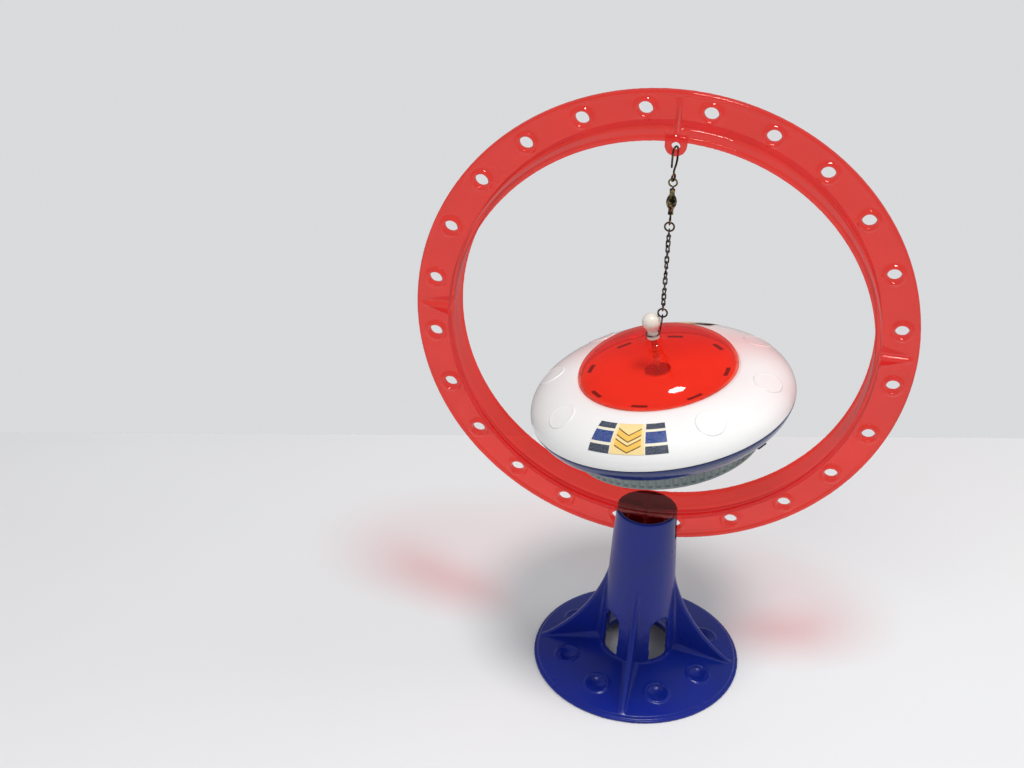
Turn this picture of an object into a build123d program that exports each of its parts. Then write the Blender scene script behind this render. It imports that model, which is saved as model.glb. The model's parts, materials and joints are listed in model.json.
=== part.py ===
"""Gyroscope saucer hanging on a chain inside an upright ring, on a fluted stand.

Millimetres, +Z up. The origin is the centre of the stand's foot, on the surface it rests on.
The ring stands in the XZ plane, the front of the toy faces -Y, and the chain hangs on the Z axis.
The saucer is drawn in its own leaning frame: radius outwards and height along its spin axis,
measured from the middle of its widest edge.
"""

import os
from math import cos, radians, sin, sqrt

from build123d import *

os.makedirs("parts", exist_ok=True)

# Stand, one hollow moulding
FOOT_R = 46.0
FOOT_STEP_R = 44.4
FOOT_EDGE_H = 1.3
FOOT_STEP_H = 2.4
TUBE_TOP_Z = 80.8
TUBE_TOP_R = 13.1
TUBE_FOOT_R = 16.4
TUBE_FOOT_Z = 8.2
STAND_WALL = 1.7
FIN_COUNT = 4
FIN_T = 2.2
FIN_TOP_Z = 47.0
WINDOW_W = 10.0
WINDOW_BOTTOM_Z = 8.6
WINDOW_TOP_Z = 30.0
DIMPLE_R = 32.2
DIMPLE_SIDE_DEG = 20.8
DIMPLE_BALL_R = 7.0
DIMPLE_DEPTH = 1.5
DIMPLE_BOSS_R = 5.2

# Ring, one T-section moulding with a drilled flange and a hanging tab
RING_Z = 167.55
RING_R = 100.0
RING_LIP = 1.5
RING_LIP_T = 3.4
FLANGE_T = 2.2
BAND_R_IN = 83.7
BAND_R_OUT = 85.4
BAND_W = 17.4
BEAD_W = 1.6
BEAD_T = 0.6
RING_HOLES = 24
HOLE_CIRCLE_R = 93.04
HOLE_R = 2.8
BOSS_R = 4.2
BOSS_T = 4.4
GUSSET_T = 1.5
TAB_W = 8.4
TAB_T = 2.8
TAB_HOLE_R = 1.75
TAB_HOLE_Z = 245.9
TAB_END_Z = 246.2
SLOT_W = 5.0
SLOT_CLEAR = 0.1

# Wire parts of the suspension
HOOK_WIRE_R = 0.42
HOOK_LEG = 2.2
HOOK_TURN_DEG = 20.0
HOOK_TOP_Z = 245.5
HOOK_TIP_Z = 238.1
HOOK_LOOP_R = 1.3
HOOK_LOOP_Z = 233.05
SWIVEL_Z = 223.15
EYE_OFFSET = 7.85
EYE_R = 1.55
EYE_WIRE_R = 0.35
SHANK_R = 0.38
SHANK_HEAD_R = 0.95
SHANK_HEAD_T = 0.9
BARREL_R = 2.05
BARREL_NECK_R = 1.05
BARREL_HALF = 5.25
BARREL_BULB_HALF = 2.45
BARREL_BORE_R = 0.45
BARREL_CAVITY_R = 1.4
BARREL_CAVITY_HALF = 1.9
JUMP_R = 1.8
JUMP_WIRE_R = 0.36
UPPER_JUMP_Z = 212.71
LOWER_JUMP_Z = 175.25
LINKS = 15
LINKS_PER_LENGTH = 5
LINK_WIRE_R = 0.31
LINK_ARC_R = 0.68
LINK_PLAY = 0.04
HANGER_WIRE_R = 0.32
HANGER_EYE_R = 1.15
HANGER_PLAY = 0.05
NECK_LOOP_R = 2.8
NECK_LOOP_S = 29.9

# Saucer, in its own frame: r outwards, s up its spin axis
LEAN_DEG = 11.0
RIM_X = 2.5
RIM_Z = 136.2
RIM_R = 54.3
RIM_S = -0.3
SHELL_W = 21.3
SHELL_H = 13.7
SHELL_T = 1.8
DECK_S = 13.0
DECK_T = 1.6
DOME_SEAT_R = 33.0
DOME_R = 32.7
DOME_S = 13.3
DOME_H = 12.8
DOME_T = 1.4
DOME_BOSS_R = 5.6
DOME_BOSS_TOP_R = 3.5
DOME_BOSS_TOP_S = 27.9
PORTHOLE_R = 5.6
PORTHOLE_RAISE = 0.45
PORTHOLE_AT_R = 45.7
PORTHOLE_MIDDLE_DEG = -98.5
PORTHOLE_FIRST_DEG = 41.6
PORTHOLE_STEP_DEG = 45.1
DECK_SLOTS = 8
DECK_SLOT_FIRST_DEG = -97.5
DECK_SLOT_R = 28.6
DECK_SLOT_L = 6.0
DECK_SLOT_W = 2.0
FRONT_DECAL_DEG = -97.0
REAR_DECAL_DEG = 83.0
DECAL_ARC_DEG = 35.8
DECAL_R_TOP = 40.9
DECAL_R_BOTTOM = 52.2
DECAL_T = 0.12
POST_R = 1.2
KNOB_R = 3.7
KNOB_S = 35.1
KNOB_NECK_R = 2.1
KNOB_BASE_R = 2.5
LOWER_T = 1.6
SPIGOT_R = 52.2
LOWER_OPEN_R = 40.0
LOWER_OPEN_S = -10.6
SKIRT_R = 39.4
SKIRT_T = 1.8
SKIRT_TOP_S = -8.78
SKIRT_BOTTOM_S = -19.0
FLUTES = 72
FLUTE_R = 0.75
COVER_R = 37.4
COVER_S = -15.4
COVER_T = 1.6
HOUSING_R = 26.0
HOUSING_S = -22.0
TIP_BALL_R = 2.6
TIP_S = -27.0
GUIDE_DEG = -34.0
GUIDE_HALF_L = 44.6
GUIDE_OFFSET = 7.4
GUIDE_W = 4.8
GUIDE_TOP_S = -10.7
GUIDE_H = 2.8
STRIP_SLOT_W = 2.4
STRIP_SLOT_H = 1.5
SHELL_SCREW_AT_R = 46.5
SHELL_SCREW_FIRST_DEG = 15.0
SHELL_SCREW_SEAT_S = -7.2
COVER_SCREW_AT_R = 35.0
COVER_SCREW_FIRST_DEG = 60.0
SCREW_R = 1.1
SCREW_HEAD_R = 2.1
SCREW_HEAD_T = 1.2
AXLE_R = 1.5
AXLE_PLAY = 0.05
AXLE_TOP_S = 12.7
AXLE_BOTTOM_S = -21.6
BUSH_R = 4.0
BUSH_FLANGE_R = 5.4
BUSH_FLANGE_T = 0.7
WHEEL_R = 41.0
WHEEL_RIM_T = 6.0
WHEEL_H = 8.0
WHEEL_S = 4.2
WEB_T = 1.8
HUB_R = 6.0
HUB_ABOVE = 3.2
HUB_BELOW = 5.5
PINION_TEETH = 10
PINION_ROOT_R = 3.2
PINION_TIP_R = 4.9
PINION_TOOTH_W = 1.2

# Frames
RING_FACE = Plane(origin=(0, 0, RING_Z), x_dir=(1, 0, 0), z_dir=(0, -1, 0))
RING_AXIS = Axis((0, 0, RING_Z), (0, 1, 0))
LEAN = radians(LEAN_DEG)
RIM_CENTRE = Vector(RIM_X, 0, RIM_Z)
SPIN_DIR = Vector(-sin(LEAN), 0, cos(LEAN))
SAUCER = Plane(origin=RIM_CENTRE, x_dir=(cos(LEAN), 0, sin(LEAN)), z_dir=SPIN_DIR)
SPIN = Axis(RIM_CENTRE, SPIN_DIR)


def saucer_profile(azimuth_deg=0.0):
    """The half plane through the spin axis at an azimuth: x is the radius, y is the height s."""
    turn = radians(azimuth_deg)
    outwards = SAUCER.x_dir * cos(turn) + SAUCER.y_dir * sin(turn)
    return Plane(origin=RIM_CENTRE, x_dir=outwards, z_dir=outwards.cross(SPIN_DIR))


def radial(azimuth_deg, radius, height=0.0):
    """A point given by azimuth, radius and height about the Z axis."""
    turn = radians(azimuth_deg)
    return (radius * cos(turn), radius * sin(turn), height)


def save(piece, name):
    piece.part.label = name
    export_step(piece.part, f"parts/{name}.step")


def spun(points, name):
    """A turned piece of the saucer from straight-sided profile points (r, s)."""
    with BuildPart() as piece:
        with BuildSketch(saucer_profile()):
            with BuildLine():
                Polyline(*points, close=True)
            make_face()
        revolve(axis=SPIN)
    save(piece, name)
    return piece


def wire_ring(centre, major, wire_r, facing):
    """A closed wire ring whose axis points along X or Y."""
    turn = (0, 90, 0) if facing == "x" else (90, 0, 0)
    with BuildPart() as piece:
        with Locations(Location(centre, turn)):
            Torus(major, wire_r)
    return piece


# ---------------------------------------------------------------- stand
def foot_height(radius):
    """Height of the foot's sloping top at a radius."""
    slope = (TUBE_FOOT_Z - FOOT_STEP_H) / (FOOT_STEP_R - TUBE_FOOT_R)
    return FOOT_STEP_H + (FOOT_STEP_R - radius) * slope


with BuildPart() as stand:
    # conical tube flowing into a flared foot with a stepped edge, open underneath
    with BuildSketch(Plane.XZ):
        with BuildLine():
            Polyline(
                (TUBE_TOP_R - STAND_WALL, TUBE_TOP_Z),
                (TUBE_TOP_R, TUBE_TOP_Z),
                (TUBE_FOOT_R, TUBE_FOOT_Z),
                (FOOT_STEP_R, FOOT_STEP_H),
                (FOOT_STEP_R, FOOT_EDGE_H),
                (FOOT_R, FOOT_EDGE_H),
                (FOOT_R, 0),
                (FOOT_STEP_R - STAND_WALL, 0),
                (FOOT_STEP_R - STAND_WALL, FOOT_EDGE_H - 0.5),
                (TUBE_FOOT_R - STAND_WALL, TUBE_FOOT_Z - STAND_WALL),
                close=True,
            )
        make_face()
    revolve(axis=Axis.Z)
    # concave fins
    for fin in range(FIN_COUNT):
        with BuildSketch(Plane.XZ.rotated((0, 0, fin * 360 / FIN_COUNT))):
            with BuildLine():
                crest = ThreePointArc((TUBE_TOP_R + 1.5, FIN_TOP_Z), (25.0, 22.5), (43.6, 2.6))
                Polyline(crest @ 1, (43.0, 1.6), (15.2, 6.6), (TUBE_TOP_R + 0.6, FIN_TOP_Z - 1), crest @ 0)
            make_face()
        extrude(amount=FIN_T / 2, both=True)
    # pads under the dimples, then the dimples
    dimples = [
        radial(45 + quarter * 90 + side * DIMPLE_SIDE_DEG, DIMPLE_R)
        for quarter in range(FIN_COUNT)
        for side in (-1, 1)
    ]
    with Locations(*[(x, y, 1.9) for x, y, _ in dimples]):
        Cylinder(DIMPLE_BOSS_R, 1.7, align=(Align.CENTER, Align.CENTER, Align.MIN))
    ball_z = foot_height(DIMPLE_R) - DIMPLE_DEPTH + DIMPLE_BALL_R
    with Locations(*[(x, y, ball_z) for x, y, _ in dimples]):
        Sphere(DIMPLE_BALL_R, mode=Mode.SUBTRACT)
    # arched windows through the tube, between the fins
    for quarter in range(FIN_COUNT):
        turn = radians(45 + quarter * 90)
        face = Plane(origin=(0, 0, 0), x_dir=(-sin(turn), cos(turn), 0), z_dir=(cos(turn), sin(turn), 0))
        straight = WINDOW_TOP_Z - WINDOW_W / 2 - WINDOW_BOTTOM_Z
        with BuildSketch(face):
            with Locations((0, WINDOW_BOTTOM_Z + straight / 2)):
                Rectangle(WINDOW_W, straight)
            with Locations((0, WINDOW_TOP_Z - WINDOW_W / 2)):
                Circle(WINDOW_W / 2)
        extrude(amount=20, mode=Mode.SUBTRACT)
    # slot across the mouth that takes the ring's flange
    inner_wall = TUBE_TOP_R - STAND_WALL
    slot_bottom = RING_Z - sqrt(RING_R**2 - inner_wall**2) - SLOT_CLEAR
    with Locations((0, 0, slot_bottom)):
        Box(40, SLOT_W, 20, align=(Align.CENTER, Align.CENTER, Align.MIN), mode=Mode.SUBTRACT)
save(stand, "stand")

# ---------------------------------------------------------------- ring
with BuildPart() as ring:
    # T-section: flange with a thicker lip, and a band with beaded edges
    half_band = BAND_W / 2
    bead_r = BAND_R_IN - BEAD_T
    with BuildSketch(Plane.XY.offset(RING_Z)):
        with BuildLine():
            Polyline(
                (RING_R, -RING_LIP_T / 2),
                (RING_R, RING_LIP_T / 2),
                (RING_R - RING_LIP, RING_LIP_T / 2),
                (RING_R - RING_LIP, FLANGE_T / 2),
                (BAND_R_OUT, FLANGE_T / 2),
                (BAND_R_OUT, half_band),
                (bead_r, half_band),
                (bead_r, half_band - BEAD_W),
                (BAND_R_IN, half_band - BEAD_W),
                (BAND_R_IN, -half_band + BEAD_W),
                (bead_r, -half_band + BEAD_W),
                (bead_r, -half_band),
                (BAND_R_OUT, -half_band),
                (BAND_R_OUT, -FLANGE_T / 2),
                (RING_R - RING_LIP, -FLANGE_T / 2),
                (RING_R - RING_LIP, -RING_LIP_T / 2),
                close=True,
            )
        make_face()
    revolve(axis=RING_AXIS)
    # triangular gussets at the four quarters, on both sides of the flange
    for quarter in range(4):
        turn = radians(90 * quarter)
        cut = Plane(
            origin=(0, 0, RING_Z), x_dir=(cos(turn), 0, sin(turn)), z_dir=(-sin(turn), 0, cos(turn))
        )
        with BuildSketch(cut):
            for side in (-1, 1):
                with BuildLine():
                    Polyline(
                        (BAND_R_OUT - 0.5, side * (half_band - 0.2)),
                        (RING_R - RING_LIP, side * FLANGE_T / 2),
                        (BAND_R_OUT - 0.5, side * FLANGE_T / 4),
                        close=True,
                    )
                make_face()
        extrude(amount=GUSSET_T / 2, both=True)
    # bosses round the holes
    with BuildSketch(RING_FACE):
        with PolarLocations(HOLE_CIRCLE_R, RING_HOLES, start_angle=180 / RING_HOLES):
            Circle(BOSS_R)
    extrude(amount=BOSS_T / 2, both=True)
    # tab that the hook hangs on
    tab_top = BAND_R_IN + 0.5
    tab_low = TAB_END_Z - RING_Z
    with BuildSketch(RING_FACE):
        with Locations((0, (tab_top + tab_low) / 2)):
            Rectangle(TAB_W, tab_top - tab_low)
        with Locations((0, tab_low)):
            Circle(TAB_W / 2)
    extrude(amount=TAB_T / 2, both=True)
    with BuildSketch(RING_FACE):
        with PolarLocations(HOLE_CIRCLE_R, RING_HOLES, start_angle=180 / RING_HOLES):
            Circle(HOLE_R)
        with Locations((0, TAB_HOLE_Z - RING_Z)):
            Circle(TAB_HOLE_R)
    extrude(amount=10, both=True, mode=Mode.SUBTRACT)
save(ring, "ring")

# ---------------------------------------------------------------- hook, swivel, rings and chain
hook_turn = radians(HOOK_TURN_DEG)
HOOK_PLANE = Plane(
    origin=(0, 0, 0),
    x_dir=(sin(hook_turn), cos(hook_turn), 0),
    z_dir=(cos(hook_turn), -sin(hook_turn), 0),
)
with BuildPart() as hook:
    bend_z = HOOK_TOP_Z - HOOK_LEG
    with BuildLine(HOOK_PLANE) as hook_line:
        short_leg = Line((-HOOK_LEG, HOOK_TIP_Z), (-HOOK_LEG, bend_z))
        bend = ThreePointArc(short_leg @ 1, (0, HOOK_TOP_Z), (HOOK_LEG, bend_z))
        FilletPolyline(
            bend @ 1,
            (HOOK_LEG, 238.8),
            (0, 235.9),
            (0, HOOK_LOOP_Z + HOOK_LOOP_R),
            radius=0.9,
        )
    with BuildSketch(Plane(origin=hook_line.line @ 0, z_dir=hook_line.line % 0)):
        Circle(HOOK_WIRE_R)
    sweep(path=hook_line.line)
    with Locations(Plane(origin=(0, 0, HOOK_LOOP_Z), z_dir=HOOK_PLANE.z_dir)):
        Torus(HOOK_LOOP_R, HOOK_WIRE_R - 0.02)
save(hook, "suspension_hook")


def swivel_eye(side, facing, name):
    """One swivel eye: a wire ring, and a shank with a head that is held inside the barrel."""
    ring_z = SWIVEL_Z + side * EYE_OFFSET
    head_far = SWIVEL_Z + side * (BARREL_CAVITY_HALF - 0.1)
    head_near = head_far - side * SHANK_HEAD_T
    shank_top = ring_z - side * (EYE_R - 0.1)
    turn = (0, 90, 0) if facing == "x" else (90, 0, 0)
    with BuildPart() as eye:
        with Locations(Location((0, 0, ring_z), turn)):
            Torus(EYE_R, EYE_WIRE_R)
        with Locations((0, 0, (shank_top + head_near) / 2)):
            Cylinder(SHANK_R, abs(shank_top - head_near))
        with Locations((0, 0, (head_far + head_near) / 2)):
            Cylinder(SHANK_HEAD_R, SHANK_HEAD_T)
    save(eye, name)


swivel_eye(1, "y", "swivel_upper_eye")
swivel_eye(-1, "x", "swivel_lower_eye")

with BuildPart() as barrel:
    with BuildSketch(Plane.XZ.offset(0)):
        with BuildLine():
            bulge = ThreePointArc(
                (BARREL_NECK_R, SWIVEL_Z - BARREL_BULB_HALF),
                (BARREL_R, SWIVEL_Z),
                (BARREL_NECK_R, SWIVEL_Z + BARREL_BULB_HALF),
            )
            Polyline(
                bulge @ 1,
                (BARREL_NECK_R, SWIVEL_Z + BARREL_HALF),
                (BARREL_BORE_R, SWIVEL_Z + BARREL_HALF),
                (BARREL_BORE_R, SWIVEL_Z + BARREL_CAVITY_HALF),
                (BARREL_CAVITY_R - 0.3, SWIVEL_Z + BARREL_CAVITY_HALF),
                (BARREL_CAVITY_R, SWIVEL_Z + 1.0),
                (BARREL_CAVITY_R, SWIVEL_Z - 1.0),
                (BARREL_CAVITY_R - 0.3, SWIVEL_Z - BARREL_CAVITY_HALF),
                (BARREL_BORE_R, SWIVEL_Z - BARREL_CAVITY_HALF),
                (BARREL_BORE_R, SWIVEL_Z - BARREL_HALF),
                (BARREL_NECK_R, SWIVEL_Z - BARREL_HALF),
                bulge @ 0,
            )
        make_face()
    revolve(axis=Axis.Z)
save(barrel, "swivel_barrel")

save(wire_ring((0, 0, UPPER_JUMP_Z), JUMP_R, JUMP_WIRE_R, "y"), "upper_jump_ring")
save(wire_ring((0, 0, LOWER_JUMP_Z), JUMP_R, JUMP_WIRE_R, "y"), "lower_jump_ring")

# the chain fills the height between the two jump rings
chain_top = UPPER_JUMP_Z - JUMP_R + JUMP_WIRE_R + LINK_WIRE_R + LINK_PLAY
chain_bottom = LOWER_JUMP_Z + JUMP_R - JUMP_WIRE_R - LINK_WIRE_R - LINK_PLAY
link_overlap = 2 * LINK_WIRE_R + LINK_PLAY
link_pitch = (chain_top - chain_bottom - link_overlap) / LINKS
link_half = (link_pitch + link_overlap) / 2


def chain_length(first, count, name):
    """A run of oval links, each turned a quarter turn from the one above it."""
    with BuildPart() as links:
        for number in range(first, first + count):
            middle = chain_top - link_half - number * link_pitch
            straight = link_half - LINK_ARC_R
            base = Plane.YZ if number % 2 == 0 else Plane.XZ
            upright = Plane(origin=(0, 0, middle), x_dir=base.x_dir, z_dir=base.z_dir)
            with BuildLine(upright) as oval:
                left = Line((-LINK_ARC_R, -straight), (-LINK_ARC_R, straight))
                top = ThreePointArc(left @ 1, (0, link_half), (LINK_ARC_R, straight))
                right = Line(top @ 1, (LINK_ARC_R, -straight))
                ThreePointArc(right @ 1, (0, -link_half), left @ 0)
            with BuildSketch(Plane(origin=left @ 0.5, z_dir=left % 0.5)):
                Circle(LINK_WIRE_R)
            sweep(path=oval.line)
    save(links, name)


for part_number, name in enumerate(("chain_upper", "chain_middle", "chain_lower")):
    chain_length(part_number * LINKS_PER_LENGTH, LINKS_PER_LENGTH, name)

# hanger: an eye on the lower jump ring, a stem, and a loop round the knob's neck
with BuildPart() as hanger:
    jump_inside = LOWER_JUMP_Z - JUMP_R + JUMP_WIRE_R
    eye_z = jump_inside + HANGER_WIRE_R + HANGER_PLAY - HANGER_EYE_R
    neck = RIM_CENTRE + SPIN_DIR * NECK_LOOP_S
    loop_side = neck + SAUCER.x_dir * NECK_LOOP_R
    eye_foot = Vector(0, 0, eye_z - HANGER_EYE_R)
    stem = loop_side - eye_foot
    with Locations(Location((0, 0, eye_z), (0, 90, 0))):
        Torus(HANGER_EYE_R, HANGER_WIRE_R)
    with Locations(Plane(origin=neck, z_dir=SPIN_DIR)):
        Torus(NECK_LOOP_R, HANGER_WIRE_R)
    with Locations(Plane(origin=eye_foot, z_dir=stem)):
        Cylinder(HANGER_WIRE_R, stem.length, align=(Align.CENTER, Align.CENTER, Align.MIN))
save(hanger, "knob_hanger")

# ---------------------------------------------------------------- saucer shells
# three portholes on each side, between the two stickers
PORTHOLE_DEGS = [
    PORTHOLE_MIDDLE_DEG + side * (PORTHOLE_FIRST_DEG + number * PORTHOLE_STEP_DEG)
    for side in (1, -1)
    for number in range(3)
]

# raised discs of the portholes: a skin over the shell, kept only inside upright cylinders
with BuildPart() as portholes:
    with BuildSketch(saucer_profile()):
        with Locations((DOME_SEAT_R, RIM_S)):
            Ellipse(SHELL_W + PORTHOLE_RAISE, SHELL_H + PORTHOLE_RAISE)
            Ellipse(SHELL_W - 1.0, SHELL_H - 1.0, mode=Mode.SUBTRACT)
        with Locations((PORTHOLE_AT_R, SHELL_H / 2)):
            Rectangle(16, SHELL_H + 2, mode=Mode.INTERSECT)
    revolve(axis=SPIN)
    across = (PORTHOLE_AT_R - DOME_SEAT_R) / SHELL_W
    rise = sqrt(1 - across**2)
    outward = Vector(across / SHELL_W, rise / SHELL_H).normalized()
    height = RIM_S + rise * SHELL_H
    with BuildPart(mode=Mode.INTERSECT):
        for azimuth in PORTHOLE_DEGS:
            cut = saucer_profile(azimuth)
            origin = cut.from_local_coords((PORTHOLE_AT_R, height, 0))
            direction = cut.x_dir * outward.X + cut.y_dir * outward.Y
            with BuildSketch(Plane(origin=origin, z_dir=direction)):
                Circle(PORTHOLE_R)
            extrude(amount=3, both=True)

with BuildPart() as upper_shell:
    with BuildSketch(saucer_profile()):
        with BuildLine():
            outside = EllipticalCenterArc((DOME_SEAT_R, RIM_S), SHELL_W, SHELL_H, 0, arc_size=90)
            inside = EllipticalCenterArc(
                (DOME_SEAT_R, RIM_S), SHELL_W - SHELL_T, DECK_S - DECK_T - RIM_S, 0, arc_size=90
            )
            Polyline(
                outside @ 1,
                (DOME_SEAT_R, DECK_S),
                (BUSH_R, DECK_S),
                (BUSH_R, DECK_S - DECK_T),
                inside @ 1,
            )
            Line(inside @ 0, outside @ 0)
        make_face()
    revolve(axis=SPIN)
    add(portholes.part)
    # slots in the deck, just inside the dome
    with BuildSketch(SAUCER.offset(DECK_S - DECK_T - 1)):
        with PolarLocations(DECK_SLOT_R, DECK_SLOTS, start_angle=DECK_SLOT_FIRST_DEG):
            Rectangle(DECK_SLOT_W, DECK_SLOT_L)
    extrude(amount=DECK_T + 2, mode=Mode.SUBTRACT)
    # bosses for the shell screws
    boss_foot = SHELL_SCREW_SEAT_S + LOWER_T
    with BuildSketch(SAUCER.offset(boss_foot)):
        with PolarLocations(SHELL_SCREW_AT_R, 4, start_angle=SHELL_SCREW_FIRST_DEG):
            Circle(2.6)
    extrude(amount=8.6 - boss_foot)
    with BuildSketch(SAUCER.offset(boss_foot)):
        with PolarLocations(SHELL_SCREW_AT_R, 4, start_angle=SHELL_SCREW_FIRST_DEG):
            Circle(SCREW_R)
    extrude(amount=9, mode=Mode.SUBTRACT)
save(upper_shell, "upper_shell")


def decal(middle_deg, name):
    """A thin sticker lying on the shell's curved skin."""
    with BuildPart() as sticker:
        with BuildSketch(saucer_profile(middle_deg - DECAL_ARC_DEG / 2)):
            with Locations((DOME_SEAT_R, RIM_S)):
                Ellipse(SHELL_W + DECAL_T, SHELL_H + DECAL_T)
                Ellipse(SHELL_W, SHELL_H, mode=Mode.SUBTRACT)
            with Locations(((DECAL_R_TOP + DECAL_R_BOTTOM) / 2, SHELL_H / 2)):
                Rectangle(DECAL_R_BOTTOM - DECAL_R_TOP, SHELL_H + 2, mode=Mode.INTERSECT)
        revolve(axis=SPIN, revolution_arc=DECAL_ARC_DEG)
    save(sticker, name)


decal(FRONT_DECAL_DEG, "front_decal")
decal(REAR_DECAL_DEG, "rear_decal")

with BuildPart() as dome:
    with BuildSketch(saucer_profile()):
        with BuildLine():
            outside = EllipticalCenterArc((0, DOME_S), DOME_R, DOME_H, 0, arc_size=90)
            inside = EllipticalCenterArc((0, DOME_S), DOME_R - DOME_T, DOME_H - DOME_T, 0, arc_size=90)
            Line(outside @ 1, inside @ 1)
            Polyline(inside @ 0, (DOME_R - DOME_T, DECK_S), (DOME_R, DECK_S), outside @ 0)
        make_face()
    revolve(axis=SPIN)
    with BuildSketch(saucer_profile()):
        with BuildLine():
            Polyline(
                (0, DOME_S + DOME_H - 1),
                (DOME_BOSS_R, DOME_S + DOME_H - 1),
                (DOME_BOSS_TOP_R, DOME_BOSS_TOP_S),
                (0, DOME_BOSS_TOP_S),
                close=True,
            )
        make_face()
    revolve(axis=SPIN)
    with BuildSketch(SAUCER.offset(DOME_S)):
        Circle(POST_R)
    extrude(amount=DOME_H + 10, mode=Mode.SUBTRACT)
save(dome, "dome")

with BuildPart() as lower_shell:
    seat = SHELL_SCREW_SEAT_S
    with BuildSketch(saucer_profile()):
        with BuildLine():
            outside = ThreePointArc((RIM_R - 0.3, RIM_S - 0.8), (51.2, -6.6), (42.0, -10.4))
            inside = ThreePointArc((42.4, -8.8), (48.8, -5.8), (SPIGOT_R - LOWER_T, RIM_S - 0.8))
            Polyline(
                outside @ 1,
                (LOWER_OPEN_R, LOWER_OPEN_S),
                (LOWER_OPEN_R, LOWER_OPEN_S + LOWER_T),
                inside @ 0,
            )
            Polyline(
                inside @ 1,
                (SPIGOT_R - LOWER_T, RIM_S + 1.3),
                (SPIGOT_R, RIM_S + 1.3),
                (SPIGOT_R, RIM_S - 0.8),
                outside @ 0,
            )
        make_face()
    revolve(axis=SPIN)
    # cups round the shell screws, with a counterbore from below
    with BuildSketch(SAUCER.offset(seat + LOWER_T)):
        with PolarLocations(SHELL_SCREW_AT_R, 4, start_angle=SHELL_SCREW_FIRST_DEG):
            Circle(3.6)
    extrude(amount=-2.6)
    with BuildSketch(SAUCER.offset(seat)):
        with PolarLocations(SHELL_SCREW_AT_R, 4, start_angle=SHELL_SCREW_FIRST_DEG):
            Circle(SCREW_HEAD_R + 0.3)
    extrude(amount=-6, mode=Mode.SUBTRACT)
    with BuildSketch(SAUCER.offset(seat)):
        with PolarLocations(SHELL_SCREW_AT_R, 4, start_angle=SHELL_SCREW_FIRST_DEG):
            Circle(SCREW_R + 0.2)
    extrude(amount=LOWER_T, mode=Mode.SUBTRACT)
save(lower_shell, "lower_shell")

# ---------------------------------------------------------------- strip guide and skirt
guide_turn = radians(GUIDE_DEG)
guide_dir = SAUCER.x_dir * cos(guide_turn) + SAUCER.y_dir * sin(guide_turn)
guide_side = SPIN_DIR.cross(guide_dir)
GUIDE = Plane(
    origin=RIM_CENTRE + SPIN_DIR * GUIDE_TOP_S + guide_side * GUIDE_OFFSET,
    x_dir=guide_dir,
    z_dir=SPIN_DIR,
)
with BuildPart() as strip_guide:
    with BuildSketch(GUIDE):
        Rectangle(2 * GUIDE_HALF_L, GUIDE_W)
    extrude(amount=-GUIDE_H)
    # channel for the pull strip, open to the pinion at the middle
    with BuildSketch(GUIDE.offset(-(GUIDE_H - STRIP_SLOT_H) / 2)):
        with Locations((0, -1.0)):
            Rectangle(2 * GUIDE_HALF_L + 1, STRIP_SLOT_W)
    extrude(amount=-STRIP_SLOT_H, mode=Mode.SUBTRACT)
    with BuildSketch(SAUCER.offset(GUIDE_TOP_S + 1)):
        Circle(PINION_TIP_R + 0.6)
    extrude(amount=-(GUIDE_H + 2), mode=Mode.SUBTRACT)
save(strip_guide, "strip_guide")

with BuildPart() as skirt:
    flute_top = LOWER_OPEN_S + 0.6
    with BuildSketch(SAUCER.offset(SKIRT_BOTTOM_S)):
        Circle(SKIRT_R)
        with PolarLocations(SKIRT_R + 0.25, FLUTES):
            Circle(FLUTE_R, mode=Mode.SUBTRACT)
        Circle(SKIRT_R - SKIRT_T, mode=Mode.SUBTRACT)
    extrude(amount=flute_top - SKIRT_BOTTOM_S)
    # plain flange that traps the skirt inside the lower shell
    with BuildSketch(SAUCER.offset(flute_top)):
        Circle(SKIRT_R)
        Circle(SKIRT_R - SKIRT_T, mode=Mode.SUBTRACT)
    extrude(amount=SKIRT_TOP_S - flute_top)
    with BuildSketch(SAUCER.offset(SKIRT_TOP_S)):
        Circle(42.0)
        Circle(SKIRT_R - SKIRT_T, mode=Mode.SUBTRACT)
    extrude(amount=1.2)
    # screw bosses on the inside wall
    with BuildSketch(SAUCER.offset(COVER_S)):
        with PolarLocations(COVER_SCREW_AT_R, 3, start_angle=COVER_SCREW_FIRST_DEG):
            Circle(3.4)
            Circle(SCREW_R, mode=Mode.SUBTRACT)
        Circle(SKIRT_R - 0.9, mode=Mode.INTERSECT)
    extrude(amount=6.0)
    # two openings that the strip guide passes through
    with BuildSketch(GUIDE.offset(0.1)):
        Rectangle(2 * GUIDE_HALF_L + 4, GUIDE_W + 0.2)
    extrude(amount=-(GUIDE_H + 0.2), mode=Mode.SUBTRACT)
save(skirt, "ribbed_skirt")

# ---------------------------------------------------------------- underside cover and tip
with BuildPart() as cover:
    with BuildSketch(saucer_profile()):
        with BuildLine():
            Polyline(
                (COVER_R, COVER_S),
                (COVER_R, COVER_S - COVER_T),
                (HOUSING_R, COVER_S - COVER_T),
                (HOUSING_R - 0.8, HOUSING_S),
                (BUSH_R, HOUSING_S),
                (BUSH_R, HOUSING_S + COVER_T),
                (HOUSING_R - COVER_T - 0.8, HOUSING_S + COVER_T),
                (HOUSING_R - COVER_T, COVER_S),
                close=True,
            )
        make_face()
    revolve(axis=SPIN)
    with BuildSketch(SAUCER.offset(COVER_S)):
        with PolarLocations(COVER_SCREW_AT_R, 3, start_angle=COVER_SCREW_FIRST_DEG):
            Circle(SCREW_R + 0.2)
    extrude(amount=-COVER_T, mode=Mode.SUBTRACT)
save(cover, "bottom_cover")

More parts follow.
